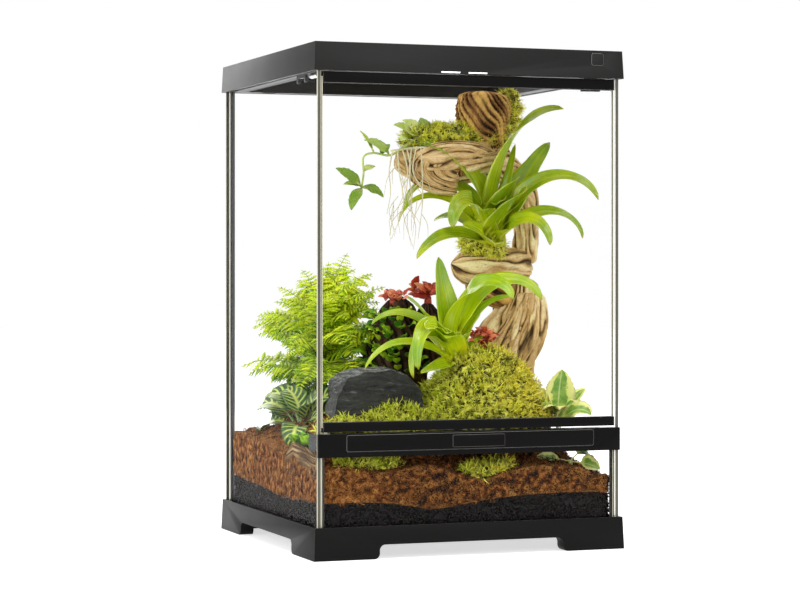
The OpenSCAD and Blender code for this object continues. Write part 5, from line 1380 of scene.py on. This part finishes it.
# %% Woven wire
def wire_tree():
    g = bpy.data.node_groups.new("wire_layer", "GeometryNodeTree")
    face = g.interface
    for name, kind, value in (("Wires", "NodeSocketInt", 80), ("Pitch", "NodeSocketFloat", 0.003),
                              ("Wire", "NodeSocketFloat", 0.0003),
                              ("Length", "NodeSocketFloat", 0.25), ("Finish", "NodeSocketMaterial", None)):
        s = face.new_socket(name, in_out="INPUT", socket_type=kind)
        if value is not None:
            s.default_value = value
    face.new_socket("Geometry", in_out="OUTPUT", socket_type="NodeSocketGeometry")
    n, link = g.nodes.new, g.links.new
    given, result = n("NodeGroupInput"), n("NodeGroupOutput")
    row, rod, step = n("GeometryNodeMeshLine"), n("GeometryNodeMeshCylinder"), n("ShaderNodeCombineXYZ")
    rod.inputs["Vertices"].default_value = 5
    turn = n("GeometryNodeTransform")
    turn.inputs["Rotation"].default_value = (math.pi / 2, 0, 0)
    copies, real, paint = n("GeometryNodeInstanceOnPoints"), n("GeometryNodeRealizeInstances"), n("GeometryNodeSetMaterial")
    link(given.outputs["Wires"], row.inputs["Count"])
    link(given.outputs["Pitch"], step.inputs[0])
    link(step.outputs[0], row.inputs["Offset"])
    link(given.outputs["Wire"], rod.inputs["Radius"])
    link(given.outputs["Length"], rod.inputs["Depth"])
    link(rod.outputs["Mesh"], turn.inputs["Geometry"])
    link(row.outputs[0], copies.inputs["Points"])
    link(turn.outputs[0], copies.inputs["Instance"])
    link(copies.outputs[0], real.inputs[0])
    link(real.outputs[0], paint.inputs["Geometry"])
    link(given.outputs["Finish"], paint.inputs["Material"])
    link(paint.outputs[0], result.inputs[0])
    return g

def fine_mesh():
    lo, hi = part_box("mesh_long_wires")
    tree = wire_tree()
    key = {s.name: s.identifier for s in tree.interface.items_tree if s.in_out == "INPUT"}
    pitch, wire = 0.0028, 0.00028
    mid, size = (lo + hi) / 2, hi - lo
    b = bmesh.new()
    for across in (0, 1):
        count = int(size[across] / pitch)
        seed = bpy.data.objects.new("layer", bpy.data.meshes.new("layer"))
        scene.collection.objects.link(seed)
        m = seed.modifiers.new("wires", "NODES")
        m.node_group = tree
        for label, value in (("Wires", count), ("Pitch", pitch), ("Wire", wire),
                             ("Length", size[1 - across] - 0.0006),
                             ("Finish", mesh_black)):
            m[key[label]] = value
        flat = bpy.data.meshes.new_from_object(seed.evaluated_get(bpy.context.evaluated_depsgraph_get()))
        start = Vector((-(count - 1) * pitch / 2, 0, 0))
        turn = Matrix.Rotation(math.pi / 2 * across, 4, "Z")
        flat.transform(Matrix.Translation((mid[0], mid[1], hi[2] - 0.0004 - 0.0005 * across)) @ turn @ Matrix.Translation(start))
        b.from_mesh(flat)
        bpy.data.objects.remove(seed)
    me = bpy.data.meshes.new("fine_wire_mesh")
    b.to_mesh(me)
    b.free()
    me.materials.append(mesh_black)
    piece = bpy.data.objects.new("fine_wire_mesh", me)
    scene.collection.objects.link(piece)
    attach(piece, "screen")
    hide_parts("mesh_long_wires", "mesh_cross_wires")
    print("fine mesh", len(me.polygons), "faces")

fine_mesh()

# %% [markdown]
# ## Room, lights and camera
# The object stands on a pale floor in a white studio. The floor and the world show white to
# the camera and in reflections, but light the object only as a soft room would. The camera
# was solved from the straight edges of the cabinet: it looks level, with a little shift.

# %% Studio
def studio():
    world = bpy.data.worlds.new("studio")
    world.use_nodes = True
    scene.world = world
    n, link = world.node_tree.nodes, world.node_tree.links.new
    path, most, any_ray, level = (n.new("ShaderNodeLightPath"), n.new("ShaderNodeMath"),
                                  n.new("ShaderNodeMath"),
                                  n.new("ShaderNodeMath"))
    most.operation = any_ray.operation = "MAXIMUM"
    level.operation = "MULTIPLY_ADD"
    link(path.outputs["Is Camera Ray"], most.inputs[0])
    link(path.outputs["Is Glossy Ray"], most.inputs[1])
    link(most.outputs[0], any_ray.inputs[0])
    link(path.outputs["Is Transmission Ray"], any_ray.inputs[1])
    link(any_ray.outputs[0], level.inputs[0])
    level.inputs[1].default_value, level.inputs[2].default_value = 0.38, 0.62
    n["Background"].inputs[0].default_value = (1.0, 1.0, 1.0, 1.0)
    link(level.outputs[0], n["Background"].inputs[1])

    f = Finish("pale_floor")
    f.tree.nodes.remove(f.skin)
    base = f.add("ShaderNodeBsdfDiffuse", {"Color": (0.8, 0.8, 0.8)})
    rays = f.add("ShaderNodeLightPath").outputs
    shown = f.math("MAXIMUM", f.math("MAXIMUM", rays["Is Camera Ray"], rays["Is Glossy Ray"]),
                   rays["Is Transmission Ray"])
    shown = f.math("MULTIPLY", shown, 0.66)
    glow = f.add("ShaderNodeEmission", {"Color": (1.0, 1.0, 1.0), "Strength": shown})
    both = f.add("ShaderNodeAddShader", {0: base.outputs[0], 1: glow.outputs[0]})
    f.tree.links.new(both.outputs[0], f.out.inputs[0])
    me = bpy.data.meshes.new("floor")
    b = bmesh.new()
    bmesh.ops.create_circle(b, cap_ends=True, segments=96, radius=9.0)
    for v in b.verts:
        v.co.z = -0.0001
    b.to_mesh(me)
    b.free()
    me.materials.append(f.mat)
    floor = bpy.data.objects.new("floor", me)
    scene.collection.objects.link(floor)

def lamp(name, place, target, size, power):
    data = bpy.data.lights.new(name, "AREA")
    data.shape, data.size, data.size_y, data.energy = "RECTANGLE", size[0], size[1], power
    o = bpy.data.objects.new(name, data)
    o.location = place
    o.rotation_euler = (Vector(target) - Vector(place)).to_track_quat("-Z", "Y").to_euler()
    scene.collection.objects.link(o)

studio()
lamp("left_window", (-2.2, -0.5, 0.7), (0, 0, 0.25), (1.8, 1.8), 26)
lamp("overhead", (0.1, -0.5, 2.0), (0, 0, 0.25), (1.6, 1.4), 24)
lamp("front_fill", (0.5, -2.6, 1.3), (0, 0, 0.25), (1.2, 1.2), 14)
lamp("back_window", (0.3, 2.0, 1.0), (0, 0, 0.25), (2.0, 1.6), 22)

camera = bpy.data.cameras.new("photo_camera")
camera.sensor_width, camera.lens = 36.0, 109.118
camera.shift_x, camera.shift_y = -0.0198, -0.0347
eye = bpy.data.objects.new("photo_camera", camera)
eye.location = (-0.8467, -2.2873, 0.2673)
eye.rotation_euler = (math.radians(90), 0.0, math.radians(-20.3316))
scene.collection.objects.link(eye)
scene.camera = eye
scene.view_settings.view_transform = "Standard"
